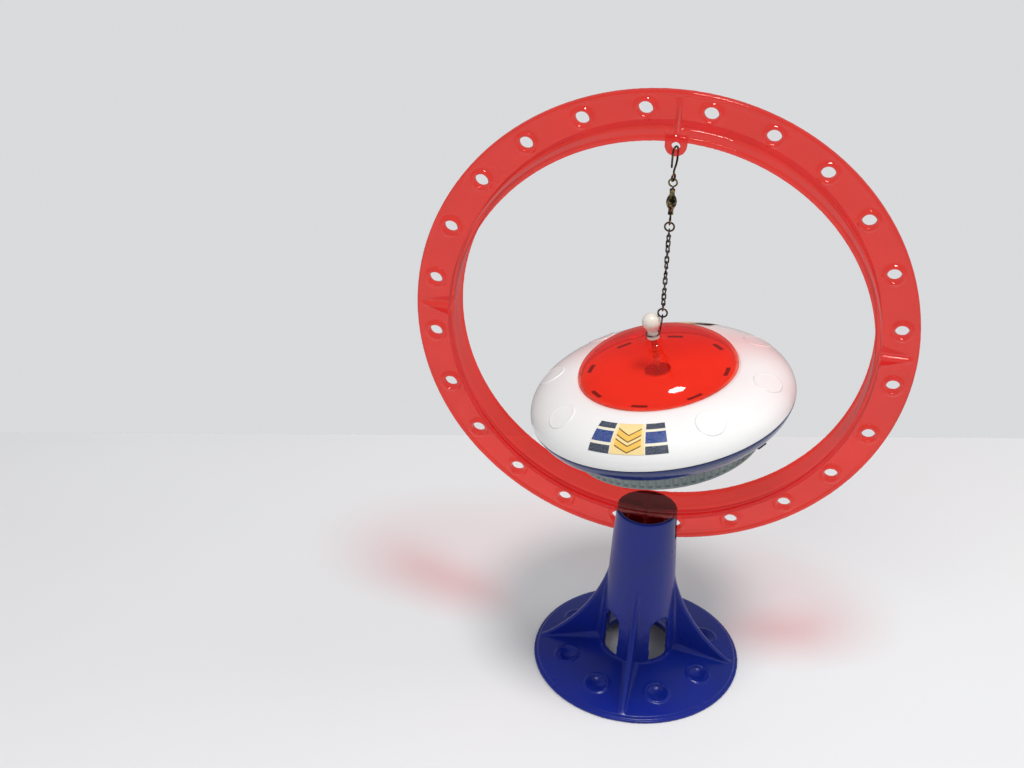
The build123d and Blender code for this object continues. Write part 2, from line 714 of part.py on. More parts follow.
with BuildPart() as tip:
    with BuildSketch(saucer_profile()):
        with BuildLine():
            ball = ThreePointArc((0, TIP_S - TIP_BALL_R), (TIP_BALL_R, TIP_S), (1.6, TIP_S + 2.05))
            Polyline(
                ball @ 1,
                (1.6, HOUSING_S - 1.9),
                (5.2, HOUSING_S - 1.2),
                (5.2, HOUSING_S),
                (0, HOUSING_S),
                ball @ 0,
            )
        make_face()
    revolve(axis=SPIN)
save(tip, "bottom_tip")

# ---------------------------------------------------------------- knob and post
with BuildPart() as knob:
    with BuildSketch(saucer_profile()):
        with BuildLine():
            crown = CenterArc((0, KNOB_S), KNOB_R, 90, -90)
            Polyline(
                crown @ 1,
                (3.4, 33.2),
                (KNOB_NECK_R, 31.3),
                (KNOB_NECK_R, 29.2),
                (KNOB_BASE_R, 28.7),
                (KNOB_BASE_R, DOME_BOSS_TOP_S),
                (POST_R, DOME_BOSS_TOP_S),
                (POST_R, 33.4),
                (0, 33.4),
                crown @ 0,
            )
        make_face()
    revolve(axis=SPIN)
    # slit across the crown
    with BuildSketch(SAUCER.offset(KNOB_S + KNOB_R - 1.5)):
        with Locations(Rotation(0, 0, 115)):
            Rectangle(10, 0.7)
    extrude(amount=3, mode=Mode.SUBTRACT)
save(knob, "knob")

bush_cap_s = DECK_S + BUSH_FLANGE_T
spun([(0, 33.3), (POST_R, 33.3), (POST_R, bush_cap_s), (0, bush_cap_s)], "centre_post")

# ---------------------------------------------------------------- bearings and the wheel they carry
upper_bush_low = DECK_S - 3.0
spun(
    [
        (AXLE_R + AXLE_PLAY, upper_bush_low),
        (AXLE_R + AXLE_PLAY, DECK_S),
        (0, DECK_S),
        (0, bush_cap_s),
        (BUSH_FLANGE_R, bush_cap_s),
        (BUSH_FLANGE_R, DECK_S),
        (BUSH_R, DECK_S),
        (BUSH_R, upper_bush_low),
    ],
    "upper_bush",
)
spun(
    [
        (AXLE_R + AXLE_PLAY, HOUSING_S + 0.3),
        (AXLE_R + AXLE_PLAY, HOUSING_S + 3.0),
        (BUSH_FLANGE_R, HOUSING_S + 3.0),
        (BUSH_FLANGE_R, HOUSING_S + COVER_T),
        (BUSH_R, HOUSING_S + COVER_T),
        (BUSH_R, HOUSING_S + 0.05),
        (0, HOUSING_S + 0.05),
        (0, HOUSING_S + 0.3),
    ],
    "lower_bush",
)
spun([(0, AXLE_TOP_S), (AXLE_R, AXLE_TOP_S), (AXLE_R, AXLE_BOTTOM_S), (0, AXLE_BOTTOM_S)], "flywheel_axle")

wheel_top = WHEEL_S + WHEEL_H / 2
wheel_low = WHEEL_S - WHEEL_H / 2
rim_in = WHEEL_R - WHEEL_RIM_T
spun([(rim_in, wheel_top), (WHEEL_R, wheel_top), (WHEEL_R, wheel_low), (rim_in, wheel_low)], "flywheel_rim")

with BuildPart() as web:
    with BuildSketch(saucer_profile()):
        with BuildLine():
            Polyline(
                (AXLE_R, WHEEL_S + HUB_ABOVE),
                (HUB_R, WHEEL_S + HUB_ABOVE),
                (HUB_R, WHEEL_S + WEB_T / 2),
                (rim_in, WHEEL_S + WEB_T / 2),
                (rim_in, WHEEL_S - WEB_T / 2),
                (HUB_R, WHEEL_S - WEB_T / 2),
                (HUB_R, WHEEL_S - HUB_BELOW),
                (AXLE_R, WHEEL_S - HUB_BELOW),
                close=True,
            )
        make_face()
    revolve(axis=SPIN)
    with BuildSketch(SAUCER.offset(WHEEL_S - WEB_T)):
        with PolarLocations((HUB_R + rim_in) / 2, 6):
            Circle(5.5)
    extrude(amount=2 * WEB_T, mode=Mode.SUBTRACT)
save(web, "flywheel_web")

with BuildPart() as pinion:
    with BuildSketch(SAUCER.offset(GUIDE_TOP_S - 0.4)):
        Circle(PINION_ROOT_R)
        with PolarLocations(0, PINION_TEETH):
            with Locations((PINION_TIP_R / 2, 0)):
                Rectangle(PINION_TIP_R, PINION_TOOTH_W)
        Circle(AXLE_R, mode=Mode.SUBTRACT)
    extrude(amount=-(GUIDE_H - 0.8))
save(pinion, "drive_pinion")

with BuildPart() as washers:
    for height in (HOUSING_S + 3.3, upper_bush_low - 0.9):
        with BuildSketch(SAUCER.offset(height)):
            Circle(3.4)
            Circle(AXLE_R, mode=Mode.SUBTRACT)
        extrude(amount=0.6)
save(washers, "axle_washers")


def screws(at_r, count, first_deg, seat_s, length, name):
    """Screws driven upwards: a slotted pan head under the seat and a shank above it."""
    with BuildPart() as group:
        with BuildSketch(SAUCER.offset(seat_s)):
            with PolarLocations(at_r, count, start_angle=first_deg):
                Circle(SCREW_HEAD_R)
        extrude(amount=-SCREW_HEAD_T)
        with BuildSketch(SAUCER.offset(seat_s)):
            with PolarLocations(at_r, count, start_angle=first_deg):
                Circle(SCREW_R - 0.03)
        extrude(amount=length)
        with BuildSketch(SAUCER.offset(seat_s - SCREW_HEAD_T)):
            with PolarLocations(at_r, count, start_angle=first_deg):
                Rectangle(0.6, 3.0)
        extrude(amount=0.6, mode=Mode.SUBTRACT)
    save(group, name)


screws(SHELL_SCREW_AT_R, 4, SHELL_SCREW_FIRST_DEG, SHELL_SCREW_SEAT_S, 7.0, "shell_screws")
screws(COVER_SCREW_AT_R, 3, COVER_SCREW_FIRST_DEG, COVER_S - COVER_T, 6.0, "cover_screws")
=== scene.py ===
"""Looks of the hanging gyroscope saucer: materials, finer meshes, light and camera.

Sizes below are millimetres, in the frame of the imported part: +Z up, the front faces -Y.
The saucer's own sizes are (r, s): radius, and height along its leaning spin axis.
"""

import json
import math

import bmesh
import bpy
from mathutils import Matrix, Vector

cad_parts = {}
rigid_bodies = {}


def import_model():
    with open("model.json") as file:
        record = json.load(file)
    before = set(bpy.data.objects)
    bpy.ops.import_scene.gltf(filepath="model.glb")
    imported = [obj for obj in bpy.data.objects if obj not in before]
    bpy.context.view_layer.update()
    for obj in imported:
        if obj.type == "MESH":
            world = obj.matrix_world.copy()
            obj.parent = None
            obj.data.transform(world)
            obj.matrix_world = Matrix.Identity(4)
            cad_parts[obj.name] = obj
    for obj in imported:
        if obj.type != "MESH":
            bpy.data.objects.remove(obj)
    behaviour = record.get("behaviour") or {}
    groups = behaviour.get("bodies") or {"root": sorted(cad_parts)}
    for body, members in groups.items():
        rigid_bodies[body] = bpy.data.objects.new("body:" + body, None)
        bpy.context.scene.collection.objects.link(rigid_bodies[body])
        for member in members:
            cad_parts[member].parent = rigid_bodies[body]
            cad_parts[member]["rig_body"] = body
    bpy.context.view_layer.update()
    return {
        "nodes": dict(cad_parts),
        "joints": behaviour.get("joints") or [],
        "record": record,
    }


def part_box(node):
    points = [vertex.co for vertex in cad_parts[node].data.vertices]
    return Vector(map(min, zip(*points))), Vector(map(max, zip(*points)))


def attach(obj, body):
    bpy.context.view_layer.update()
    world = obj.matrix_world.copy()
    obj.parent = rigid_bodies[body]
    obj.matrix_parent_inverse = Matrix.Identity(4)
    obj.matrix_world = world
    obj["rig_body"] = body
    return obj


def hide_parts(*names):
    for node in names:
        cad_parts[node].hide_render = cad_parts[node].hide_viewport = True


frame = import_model()

MM = 0.001
UP = Vector((0, 0, 1))
# a length too short to count, and how close two points of one mesh may be before they are merged
TINY = 1e-6
PIECE_WELD = 0.001
CAD_WELD = 0.005
NODES = frame["nodes"]
JOINTS = {joint["name"]: joint for joint in frame["joints"]}

# the saucer's frame comes from the wheel's joint: its axis, and the middle of the rim
SPIN = Vector(JOINTS["wheel_spin"]["axis"]).normalized()
RIM_CENTRE = Vector(JOINTS["wheel_spin"]["pos_m"])
ACROSS = Vector((0, 1, 0)).cross(SPIN).normalized()
SAUCER = Matrix.Translation(RIM_CENTRE) @ Matrix((ACROSS, (0, 1, 0), SPIN)).transposed().to_4x4()

# saucer sizes, as in the CAD part
RIM_S = -0.3
DOME_SEAT_R = 33.0
SHELL_W = 21.3
SHELL_H = 13.7
DECK_S = 13.0
DOME_R = 32.7
DOME_S = 13.3
DOME_H = 12.8
SWIVEL_Z = JOINTS["barrel_spin"]["pos_m"][2] / MM


# ---------------------------------------------------------------- meshes
def arc(centre, radii, start_deg, end_deg, steps):
    """Points on an elliptical arc, ends included."""
    points = []
    for step in range(steps + 1):
        angle = math.radians(start_deg + (end_deg - start_deg) * step / steps)
        points.append((centre[0] + radii[0] * math.cos(angle), centre[1] + radii[1] * math.sin(angle)))
    return points


def softened(points, radius, steps=4):
    """A closed outline with each corner rounded to a radius, or less where its sides are short."""
    out = []
    for before, corner, after in zip(points[-1:] + points[:-1], points, points[1:] + points[:1]):
        here = Vector(corner)
        arm_in, arm_out = Vector(before) - here, Vector(after) - here
        if corner[0] < TINY or min(arm_in.length, arm_out.length) < TINY:
            out.append(corner)
            continue
        turn = math.pi - arm_in.angle(arm_out)
        if turn < math.radians(12):
            out.append(corner)
            continue
        cut = min(radius * math.tan(turn / 2), 0.45 * arm_in.length, 0.45 * arm_out.length)
        first = here + arm_in.normalized() * cut
        last = here + arm_out.normalized() * cut
        for step in range(steps + 1):
            t = step / steps
            out.append(tuple(first * (1 - t) ** 2 + here * 2 * t * (1 - t) + last * t**2))
    return out


def piece(name, verts, faces, body, materials, sharp_deg=38):
    """A mesh object in the part's frame, in metres, smooth except at real edges, riding on a body."""
    mesh = bpy.data.meshes.new(name)
    mesh.from_pydata([tuple(v) for v in verts], [], faces)
    work = bmesh.new()
    work.from_mesh(mesh)
    bmesh.ops.remove_doubles(work, verts=work.verts, dist=PIECE_WELD * MM)
    bmesh.ops.recalc_face_normals(work, faces=work.faces)
    work.to_mesh(mesh)
    work.free()
    mesh.polygons.foreach_set("use_smooth", [True] * len(mesh.polygons))
    mesh.set_sharp_from_angle(angle=math.radians(sharp_deg))
    obj = bpy.data.objects.new(name, mesh)
    bpy.context.scene.collection.objects.link(obj)
    for material in materials:
        mesh.materials.append(material)
    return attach(obj, body)


def lathe_data(outline, place, segments, start_deg=0.0, sweep_deg=360.0, first=0):
    """Vertices and faces of a closed (r, s) outline turned about the local Z axis of place."""
    full = sweep_deg >= 360
    columns = segments if full else segments + 1
    verts, faces, count = [], [], len(outline)
    for column in range(columns):
        angle = math.radians(start_deg + sweep_deg * column / segments)
        for r, s in outline:
            verts.append(place @ (Vector((r * math.cos(angle), r * math.sin(angle), s)) * MM))
    for column in range(segments):
        this, that = column * count, ((column + 1) % columns) * count
        for i in range(count):
            j = (i + 1) % count
            if outline[i][0] < TINY and outline[j][0] < TINY:
                continue
            faces.append([first + v for v in (this + i, that + i, that + j, this + j)])
    if not full:
        faces.append([first + i for i in range(count)])
        faces.append([first + (columns - 1) * count + i for i in reversed(range(count))])
    return verts, faces


def lathe(name, outline, body, material, place=SAUCER, segments=240):
    """A piece turned full circle from a closed (r, s) outline."""
    verts, faces = lathe_data(outline, place, segments)
    return piece(name, verts, faces, body, [material])


def tube_data(points, radius, closed, sides=14, first=0):
    """Vertices and faces of a round wire along points, with rounded ends where it is open."""
    count = len(points)
    tangents = []
    for i, point in enumerate(points):
        before = points[i - 1] if closed or i else point
        after = points[(i + 1) % count] if closed or i < count - 1 else point
        tangents.append((after - before).normalized())
    normal = tangents[0].orthogonal().normalized()
    rings = []
    for i, point in enumerate(points):
        normal = (normal - tangents[i] * normal.dot(tangents[i])).normalized()
        rings.append((point, tangents[i], normal, radius))
    if not closed:
        caps = [(math.sin(t), math.cos(t)) for t in (math.radians(d) for d in (80, 55, 28))]
        head = [(points[0] - tangents[0] * radius * a, tangents[0], rings[0][2], radius * b) for a, b in caps]
        tail = [(points[-1] + tangents[-1] * radius * a, tangents[-1], normal, radius * b) for a, b in caps]
        rings = head + rings + tail[::-1]
    verts, faces = [], []
    for point, tangent, side, size in rings:
        other = tangent.cross(side)
        for k in range(sides):
            angle = 2 * math.pi * k / sides
            verts.append((point + (side * math.cos(angle) + other * math.sin(angle)) * size) * MM)
    spans = len(rings) if closed else len(rings) - 1
    shift = 0
    if closed:
        last_other = tangents[0].cross(rings[0][2])
        drift = math.atan2(normal.dot(last_other), normal.dot(rings[0][2]))
        shift = round(drift / (2 * math.pi) * sides)
    for i in range(spans):
        j = (i + 1) % len(rings)
        step = shift if closed and j == 0 else 0
        for k in range(sides):
            m = (k + 1) % sides
            a, b = i * sides + k, i * sides + m
            c, d = j * sides + (m + step) % sides, j * sides + (k + step) % sides
            faces.append([first + v for v in (a, b, c, d)])
    if not closed:
        faces.append([first + k for k in reversed(range(sides))])
        faces.append([first + (len(rings) - 1) * sides + k for k in range(sides)])
    return verts, faces


def joined(parts):
    """Several (verts, faces) builders run one after the other into one mesh."""
    verts, faces = [], []
    for build in parts:
        more_verts, more_faces = build(len(verts))
        verts += more_verts
        faces += more_faces
    return verts, faces


def wire(name, points, radius, body, material):
    """A piece of round wire with two ends."""
    verts, faces = tube_data(points, radius, closed=False)
    return piece(name, verts, faces, body, [material], sharp_deg=60)


# ---------------------------------------------------------------- materials
# the share of light that a clear face mirrors face on, and what is added to it at a glance
MIRROR_FACE_ON = 0.045
MIRROR_GRAZING = 0.6


class Paint:
    """A node material with the detail that every surface here shares."""

    def __init__(self, name, colour, roughness, metallic=0.0, coat=0.0, coat_roughness=0.05, edge=0.25):
        self.material = bpy.data.materials.new(name)
        self.material.use_nodes = True
        self.tree = self.material.node_tree
        self.shader = self.tree.nodes["Principled BSDF"]
        self.output = self.tree.nodes["Material Output"]
        self.shader.inputs["Metallic"].default_value = metallic
        self.shader.inputs["Coat Weight"].default_value = coat
        self.shader.inputs["Coat Roughness"].default_value = coat_roughness
        self.coordinates = self.node("ShaderNodeTexCoord").outputs["Object"]
        self.colour = colour
        self.roughness = roughness
        self.edge = edge

    def node(self, kind, **values):
        made = self.tree.nodes.new(kind)
        for key, value in values.items():
            setattr(made, key, value)
        return made

    def link(self, source, target):
        self.tree.links.new(source, target)

    def noise(self, size_mm, detail=3.0, stretch=(1, 1, 1), distortion=0.0):
        """Noise with features of about size_mm, pulled long where stretch is below 1."""
        mapping = self.node("ShaderNodeMapping")
        mapping.inputs["Scale"].default_value = [1 / (size_mm * MM) * k for k in stretch]
        self.link(self.coordinates, mapping.inputs["Vector"])
        made = self.node("ShaderNodeTexNoise")
        made.inputs["Scale"].default_value = 1.0
        made.inputs["Detail"].default_value = detail
        made.inputs["Distortion"].default_value = distortion
        self.link(mapping.outputs["Vector"], made.inputs["Vector"])
        return made.outputs["Fac"]

    def ranged(self, value, low, high, at=(0.3, 0.7)):
        made = self.node("ShaderNodeMapRange")
        made.inputs["From Min"].default_value, made.inputs["From Max"].default_value = at
        made.inputs["To Min"].default_value, made.inputs["To Max"].default_value = low, high
        self.link(value, made.inputs["Value"])
        return made.outputs["Result"]

    def mixed(self, factor, first, second):
        """A colour mix; first and second are colours or sockets."""
        made = self.node("ShaderNodeMix", data_type="RGBA")
        self.link(factor, made.inputs["Factor"])
        for source, target in ((first, made.inputs["A"]), (second, made.inputs["B"])):
            if isinstance(source, bpy.types.NodeSocket):
                self.link(source, target)
            else:
                target.default_value = (*source, 1)
        return made.outputs["Result"]

    def math(self, operation, first, second):
        made = self.node("ShaderNodeMath", operation=operation)
        for source, target in zip((first, second), made.inputs):
            if isinstance(source, bpy.types.NodeSocket):
                self.link(source, target)
            else:
                target.default_value = source
        return made.outputs[0]

    def rough(self, amount, size_mm=9.0, scratches=0.06):
        """Roughness that varies softly, with fine scratches that run two ways."""
        cloudy = self.ranged(self.noise(size_mm, 4), self.roughness - amount, self.roughness + amount)
        one = self.ranged(self.noise(0.5, 2, (0.05, 1, 0.3)), 0, scratches, (0.62, 0.72))
        two = self.ranged(self.noise(0.6, 2, (0.8, 0.06, 0.9)), 0, scratches, (0.64, 0.74))
        total = self.math("ADD", self.math("ADD", cloudy, one), two)
        self.link(total, self.shader.inputs["Roughness"])

    def bump(self, height, strength=0.1, distance_mm=0.05):
        """Relief from a height, over edges that are shaded as rounded where edge is above 0."""
        made = self.node("ShaderNodeBump")
        made.inputs["Strength"].default_value = strength
        made.inputs["Distance"].default_value = distance_mm * MM
        self.link(height, made.inputs["Height"])
        if self.edge > 0:
            bevel = self.node("ShaderNodeBevel", samples=6)
            bevel.inputs["Radius"].default_value = self.edge * MM
            self.link(bevel.outputs["Normal"], made.inputs["Normal"])
        self.link(made.outputs["Normal"], self.shader.inputs["Normal"])
        return made.outputs["Normal"]


def moulded_plastic(name, colour, shade, roughness, coat=0.2, edge=0.0, ripple=0.05, shine=0.5):
    """Opaque glossy plastic: cloudy colour, faint flow ripple and handling scratches."""
    paint = Paint(name, colour, roughness, coat=coat, edge=edge)
    paint.shader.inputs["Specular IOR Level"].default_value = shine
    cloud = paint.ranged(paint.noise(26, 3, distortion=0.6), 0, 1)
    paint.link(paint.mixed(cloud, colour, shade), paint.shader.inputs["Base Color"])
    paint.rough(0.03, scratches=0.02)
    paint.bump(paint.math("ADD", paint.noise(7, 2), paint.noise(0.35, 2)), ripple)
    return paint.material


def clear_plastic(name, body_colour, tint, clearness, light_tint, roughness=0.05, edge_share=0.8):
    """Coloured see-through plastic.

    tint colours what is seen through one of its faces, light_tint the light that passes one. The
    plastic's own colour covers a share of 1 - clearness face on, up to edge_share at a glance.
    """
    paint = Paint(name, body_colour, roughness, edge=0.0)
    cloud = paint.ranged(paint.noise(18, 3, distortion=0.8), 0, 1)
    darker = tuple(0.82 * c for c in body_colour)
    paint.link(paint.mixed(cloud, body_colour, darker), paint.shader.inputs["Base Color"])
    paint.rough(0.02, scratches=0.04)
    paint.shader.inputs["Specular IOR Level"].default_value = 0.0
    normal = paint.bump(paint.noise(9, 2), 0.05)
    see_through = paint.node("ShaderNodeBsdfTransparent")
    lighting = paint.node("ShaderNodeLightPath").outputs["Is Shadow Ray"]
    seen_tint = paint.mixed(cloud, tint, tuple(0.97 * c for c in tint))
    paint.link(paint.mixed(lighting, seen_tint, light_tint), see_through.inputs["Color"])
    looking = paint.math("SUBTRACT", 1.0, lighting)
    facing = paint.node("ShaderNodeLayerWeight")
    facing.inputs["Blend"].default_value = 0.5
    paint.link(normal, facing.inputs["Normal"])
    share = paint.ranged(facing.outputs["Facing"], 1 - clearness, edge_share, (0.72, 1.0))
    share = paint.math("MULTIPLY", share, looking)
    body = paint.node("ShaderNodeMixShader")
    paint.link(share, body.inputs["Fac"])
    paint.link(see_through.outputs["BSDF"], body.inputs[1])
    paint.link(paint.shader.outputs["BSDF"], body.inputs[2])
    gloss = paint.node("ShaderNodeBsdfGlossy")
    gloss.inputs["Roughness"].default_value = roughness
    paint.link(normal, gloss.inputs["Normal"])
    glance = paint.math("POWER", facing.outputs["Facing"], 5.0)
    mirror = paint.math("ADD", paint.math("MULTIPLY", glance, MIRROR_GRAZING), MIRROR_FACE_ON)
    mirror = paint.math("MULTIPLY", mirror, looking)
    top = paint.node("ShaderNodeMixShader")
    paint.link(mirror, top.inputs["Fac"])
    paint.link(body.outputs["Shader"], top.inputs[1])
    paint.link(gloss.outputs["BSDF"], top.inputs[2])
    paint.link(top.outputs["Shader"], paint.output.inputs["Surface"])
    return paint.material


def worn_metal(name, bright, tarnish, roughness, cover=(0.4, 0.62), edge=0.06):
    """Metal with tarnish in patches, worn bright between them."""
    paint = Paint(name, bright, roughness, metallic=1.0, edge=edge)
    patches = paint.ranged(paint.noise(1.4, 4, distortion=1.0), 0, 1, cover)
    specks = paint.ranged(paint.noise(0.3, 3), 0, 0.5, (0.5, 0.75))
    dark = paint.math("MAXIMUM", patches, specks)
    paint.link(paint.mixed(dark, bright, tarnish), paint.shader.inputs["Base Color"])
    paint.rough(0.1, size_mm=1.0, scratches=0.12)
    paint.bump(paint.noise(0.25, 3), 0.25, 0.02)
    return paint.material


BLUE = moulded_plastic(
    "blue_plastic", (0.004, 0.015, 0.25), (0.005, 0.017, 0.19), 0.3, coat=0.08, ripple=0.02, shine=0.32
)
DEEP_BLUE = moulded_plastic("blue_shell_plastic", (0.008, 0.024, 0.15), (0.010, 0.022, 0.11), 0.2)
WHITE = moulded_plastic("white_plastic", (0.84, 0.84, 0.83), (0.81, 0.81, 0.795), 0.16, coat=0.4)
IVORY = moulded_plastic("ivory_plastic", (0.78, 0.75, 0.67), (0.70, 0.67, 0.58), 0.3)
SILVER = moulded_plastic("silver_plastic", (0.29, 0.34, 0.33), (0.22, 0.26, 0.25), 0.3)
DARK = moulded_plastic("dark_plastic", (0.02, 0.02, 0.022), (0.03, 0.03, 0.032), 0.45, edge=0.2)
RED = clear_plastic("red_clear_plastic", (0.88, 0.025, 0.015), (1.0, 0.235, 0.2), 0.9, (0.92, 0.3, 0.27))
DOME_RED = clear_plastic("dome_red_plastic", (0.9, 0.03, 0.01), (1.0, 0.2, 0.1), 0.9, (1.0, 0.55, 0.45))
BRONZE = worn_metal("bronzed_wire", (0.15, 0.10, 0.055), (0.016, 0.012, 0.010), 0.36)
SWIVEL = worn_metal("bronzed_swivel", (0.36, 0.28, 0.13), (0.02, 0.016, 0.012), 0.32, (0.36, 0.56))
CHAIN = worn_metal("chain_metal", (0.16, 0.13, 0.11), (0.022, 0.019, 0.017), 0.36)
STEEL_WIRE = worn_metal("hanger_wire", (0.22, 0.21, 0.20), (0.04, 0.037, 0.034), 0.32)
STEEL = worn_metal("steel", (0.62, 0.61, 0.59), (0.30, 0.29, 0.28), 0.28, (0.6, 0.8))
BRASS = worn_metal("brass", (0.75, 0.56, 0.27), (0.35, 0.24, 0.10), 0.3, (0.55, 0.8))

PAPER = moulded_plastic("paper_back", (0.44, 0.32, 0.21), (0.36, 0.26, 0.17), 0.7, coat=0.0, shine=0.2)

SLOT_PAINTS = {
    "blue_plastic": BLUE,
    "red_clear_plastic": RED,
    "dome_red_plastic": DOME_RED,
    "white_plastic": WHITE,
    "ivory_plastic": IVORY,
    "silver_plastic": SILVER,
    "dark_plastic": DARK,
    "bronzed_wire": BRONZE,
    "bronzed_swivel": SWIVEL,
    "chain_metal": CHAIN,
    "hanger_wire": STEEL_WIRE,
    "steel": STEEL,
    "brass": BRASS,
    "sticker": WHITE,
}
SLOTS = {entry["node"]: entry["material_slot"] for entry in frame["record"]["subparts"]}


def paint_cad_nodes():
    """Every CAD node gets the look of its slot; lower_shell gets a deeper blue of its own."""
    for name, obj in NODES.items():
        paint = SLOT_PAINTS[SLOTS[name]]
        if name == "lower_shell":
            paint = DEEP_BLUE
        for slot in obj.material_slots:
            slot.material = paint


# ---------------------------------------------------------------- finer meshes
def evaluated(obj, modifiers):
    """obj with these modifiers applied: (kind, settings) in order."""
    for kind, settings in modifiers:
        modifier = obj.modifiers.new(kind.lower(), kind)
        for key, value in settings.items():
            setattr(modifier, key, value)
    graph = bpy.context.evaluated_depsgraph_get()
    graph.update()
    mesh = bpy.data.meshes.new_from_object(obj.evaluated_get(graph))
    obj.modifiers.clear()
    obj.data = mesh
    return obj


def stands_for(obj, node):
    """obj is shown in place of a CAD node, which is hidden."""
    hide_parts(node)
    return obj


def welded_copy(node):
    """A copy of a CAD node's mesh in which neighbouring faces share their vertices."""
    mesh = NODES[node].data.copy()
    work = bmesh.new()
    work.from_mesh(mesh)
    bmesh.ops.remove_doubles(work, verts=work.verts, dist=CAD_WELD * MM)
    work.to_mesh(mesh)
    work.free()
    return mesh


def softened_piece(mesh, node, name, voxel_mm, rounds, material):
    """mesh with its edges and inner corners rounded as in a moulding, in place of a CAD node."""
    obj = bpy.data.objects.new(name, mesh)
    bpy.context.scene.collection.objects.link(obj)
    evaluated(
        obj,
        [
            ("REMESH", {"mode": "VOXEL", "voxel_size": voxel_mm * MM, "use_smooth_shade": True}),
            ("SMOOTH", {"factor": 0.5, "iterations": rounds}),
        ],
    )
    obj.data.materials.clear()
    obj.data.materials.append(material)
    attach(obj, NODES[node]["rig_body"])
    return stands_for(obj, node)


def moulded_copy(node, name, voxel_mm, rounds, material):
    """A copy of a CAD node whose edges and inner corners are rounded, as in a moulding."""
    return softened_piece(welded_copy(node), node, name, voxel_mm, rounds, material)


# ---------------------------------------------------------------- stand
# the fins' and dimples' places, as in the CAD part
FIN_COUNT = 4
DIMPLE_AT_R = 32.2
DIMPLE_SIDE_DEG = 20.8
# the lines the fillets follow beside each fin, fitted close to the corners of the CAD stand
FIN_LINE_SIDE = 1.0
FOOT_LINE_RADII = range(17, 43)
FOOT_LINE_R = 42.0
FOOT_LINE_Z = 2.4
FOOT_LINE_SLOPE = 0.2266
FOOT_LINE_SINK = 0.1
TUBE_LINE_HEIGHTS = range(9, 46, 2)
TUBE_LINE_R = 16.25
TUBE_LINE_Z = 8.2
TUBE_LINE_SLOPE = 0.0455
# the fillets' sizes, which shrink outwards and upwards, and how deep they root in the stand
FOOT_FILLET = (3.4, 1.2)
TUBE_FILLET = (3.2, 0.5)
FILLET_ROOT = 0.7
# a thin lip round each dimple, dropped on to the foot from above
DIMPLE_LIP_R = 5.0
DIMPLE_LIP_WIRE_R = 0.6
LIP_STEPS = 40
LIP_DROP_FROM = 20
LIP_SPARE_Z = 4


def tapered(sizes, count):
    """count values that run evenly from the first of sizes to the second."""
    first, last = sizes
    return [first - (first - last) * k / (count - 1) for k in range(count)]


def corner_fillet(path, side_dir, rise_dir, sizes, first=0, steps=6):
    """A concave fillet along a path in a corner; side_dir and rise_dir run along its two faces."""
    verts, faces = [], []
    for point, size in zip(path, sizes):
        outline = [(-FILLET_ROOT, -FILLET_ROOT), (size, -FILLET_ROOT)]
        for k in range(steps + 1):
            angle = math.pi / 2 * k / steps
            outline.append((size * (1 - math.sin(angle)), size * (1 - math.cos(angle))))
        outline.append((-FILLET_ROOT, size))
        verts += [(point + side_dir * x + rise_dir * y) * MM for x, y in outline]
    count = steps + 4
    for i in range(len(path) - 1):
        here, there = first + i * count, first + (i + 1) * count
        for k in range(count):
            m = (k + 1) % count
            faces.append([here + k, here + m, there + m, there + k])
    faces.append([first + k for k in reversed(range(count))])
    faces.append([first + (len(path) - 1) * count + k for k in range(count)])
    return verts, faces


def fin_fillets():
    """Builders of the fillets on both sides of every fin, along the foot and up the tube."""

    def fillet(path, side_dir, rise_dir, taper):
        sizes = tapered(taper, len(path))
        return lambda first: corner_fillet(path, side_dir, rise_dir, sizes, first)

    builders = []
    for fin in range(FIN_COUNT):
        out = Matrix.Rotation(math.radians(90 * fin), 3, "Z") @ Vector((1, 0, 0))
        for hand in (-1, 1):
            across = UP.cross(out) * hand
            side = across * FIN_LINE_SIDE
            foot, tube = [], []
            for r in FOOT_LINE_RADII:
                z = FOOT_LINE_Z + (FOOT_LINE_R - r) * FOOT_LINE_SLOPE - FOOT_LINE_SINK
                foot.append(out * r + side + UP * z)
            for z in TUBE_LINE_HEIGHTS:
                r = TUBE_LINE_R - (z - TUBE_LINE_Z) * TUBE_LINE_SLOPE
                tube.append(out * r + side + UP * z)
            builders.append(fillet(foot, across, UP, FOOT_FILLET))
            builders.append(fillet(tube, across, out, TUBE_FILLET))
    return builders


def dimple_lips():
    """Builders of the thin lips round the dimples, laid on the slope of the CAD foot."""
    cad = NODES["stand"]

    def lip(middle):
        line = []
        for k in range(LIP_STEPS):
            angle = 2 * math.pi * k / LIP_STEPS
            spot = middle + Vector((math.cos(angle), math.sin(angle), 0)) * DIMPLE_LIP_R
            met, place, _, _ = cad.ray_cast((spot + UP * LIP_DROP_FROM) * MM, (0, 0, -1))
            line.append(place / MM if met else spot + UP * LIP_SPARE_Z)
        return lambda first: tube_data(line, DIMPLE_LIP_WIRE_R, True, 10, first)

    builders = []
    for quarter in range(FIN_COUNT):
        for side in (-1, 1):
            turn = math.radians(45 + 90 * quarter + side * DIMPLE_SIDE_DEG)
            builders.append(lip(Vector((DIMPLE_AT_R * math.cos(turn), DIMPLE_AT_R * math.sin(turn), 0))))
    return builders


def pedestal():
    """The stand as a moulding: lips round the dimples, fillets where fins meet tube and foot."""
    mesh = welded_copy("stand")
    verts, faces = joined(fin_fillets() + dimple_lips())
    added = bpy.data.meshes.new("fillets_and_lips")
    added.from_pydata([tuple(v) for v in verts], [], faces)
    work = bmesh.new()
    work.from_mesh(mesh)
    work.from_mesh(added)
    work.to_mesh(mesh)
    work.free()
    softened_piece(mesh, "stand", "pedestal", voxel_mm=0.4, rounds=7, material=BLUE)


# ---------------------------------------------------------------- saucer
PATCH_REACH = 6.0
PATCH_HALVINGS = 26


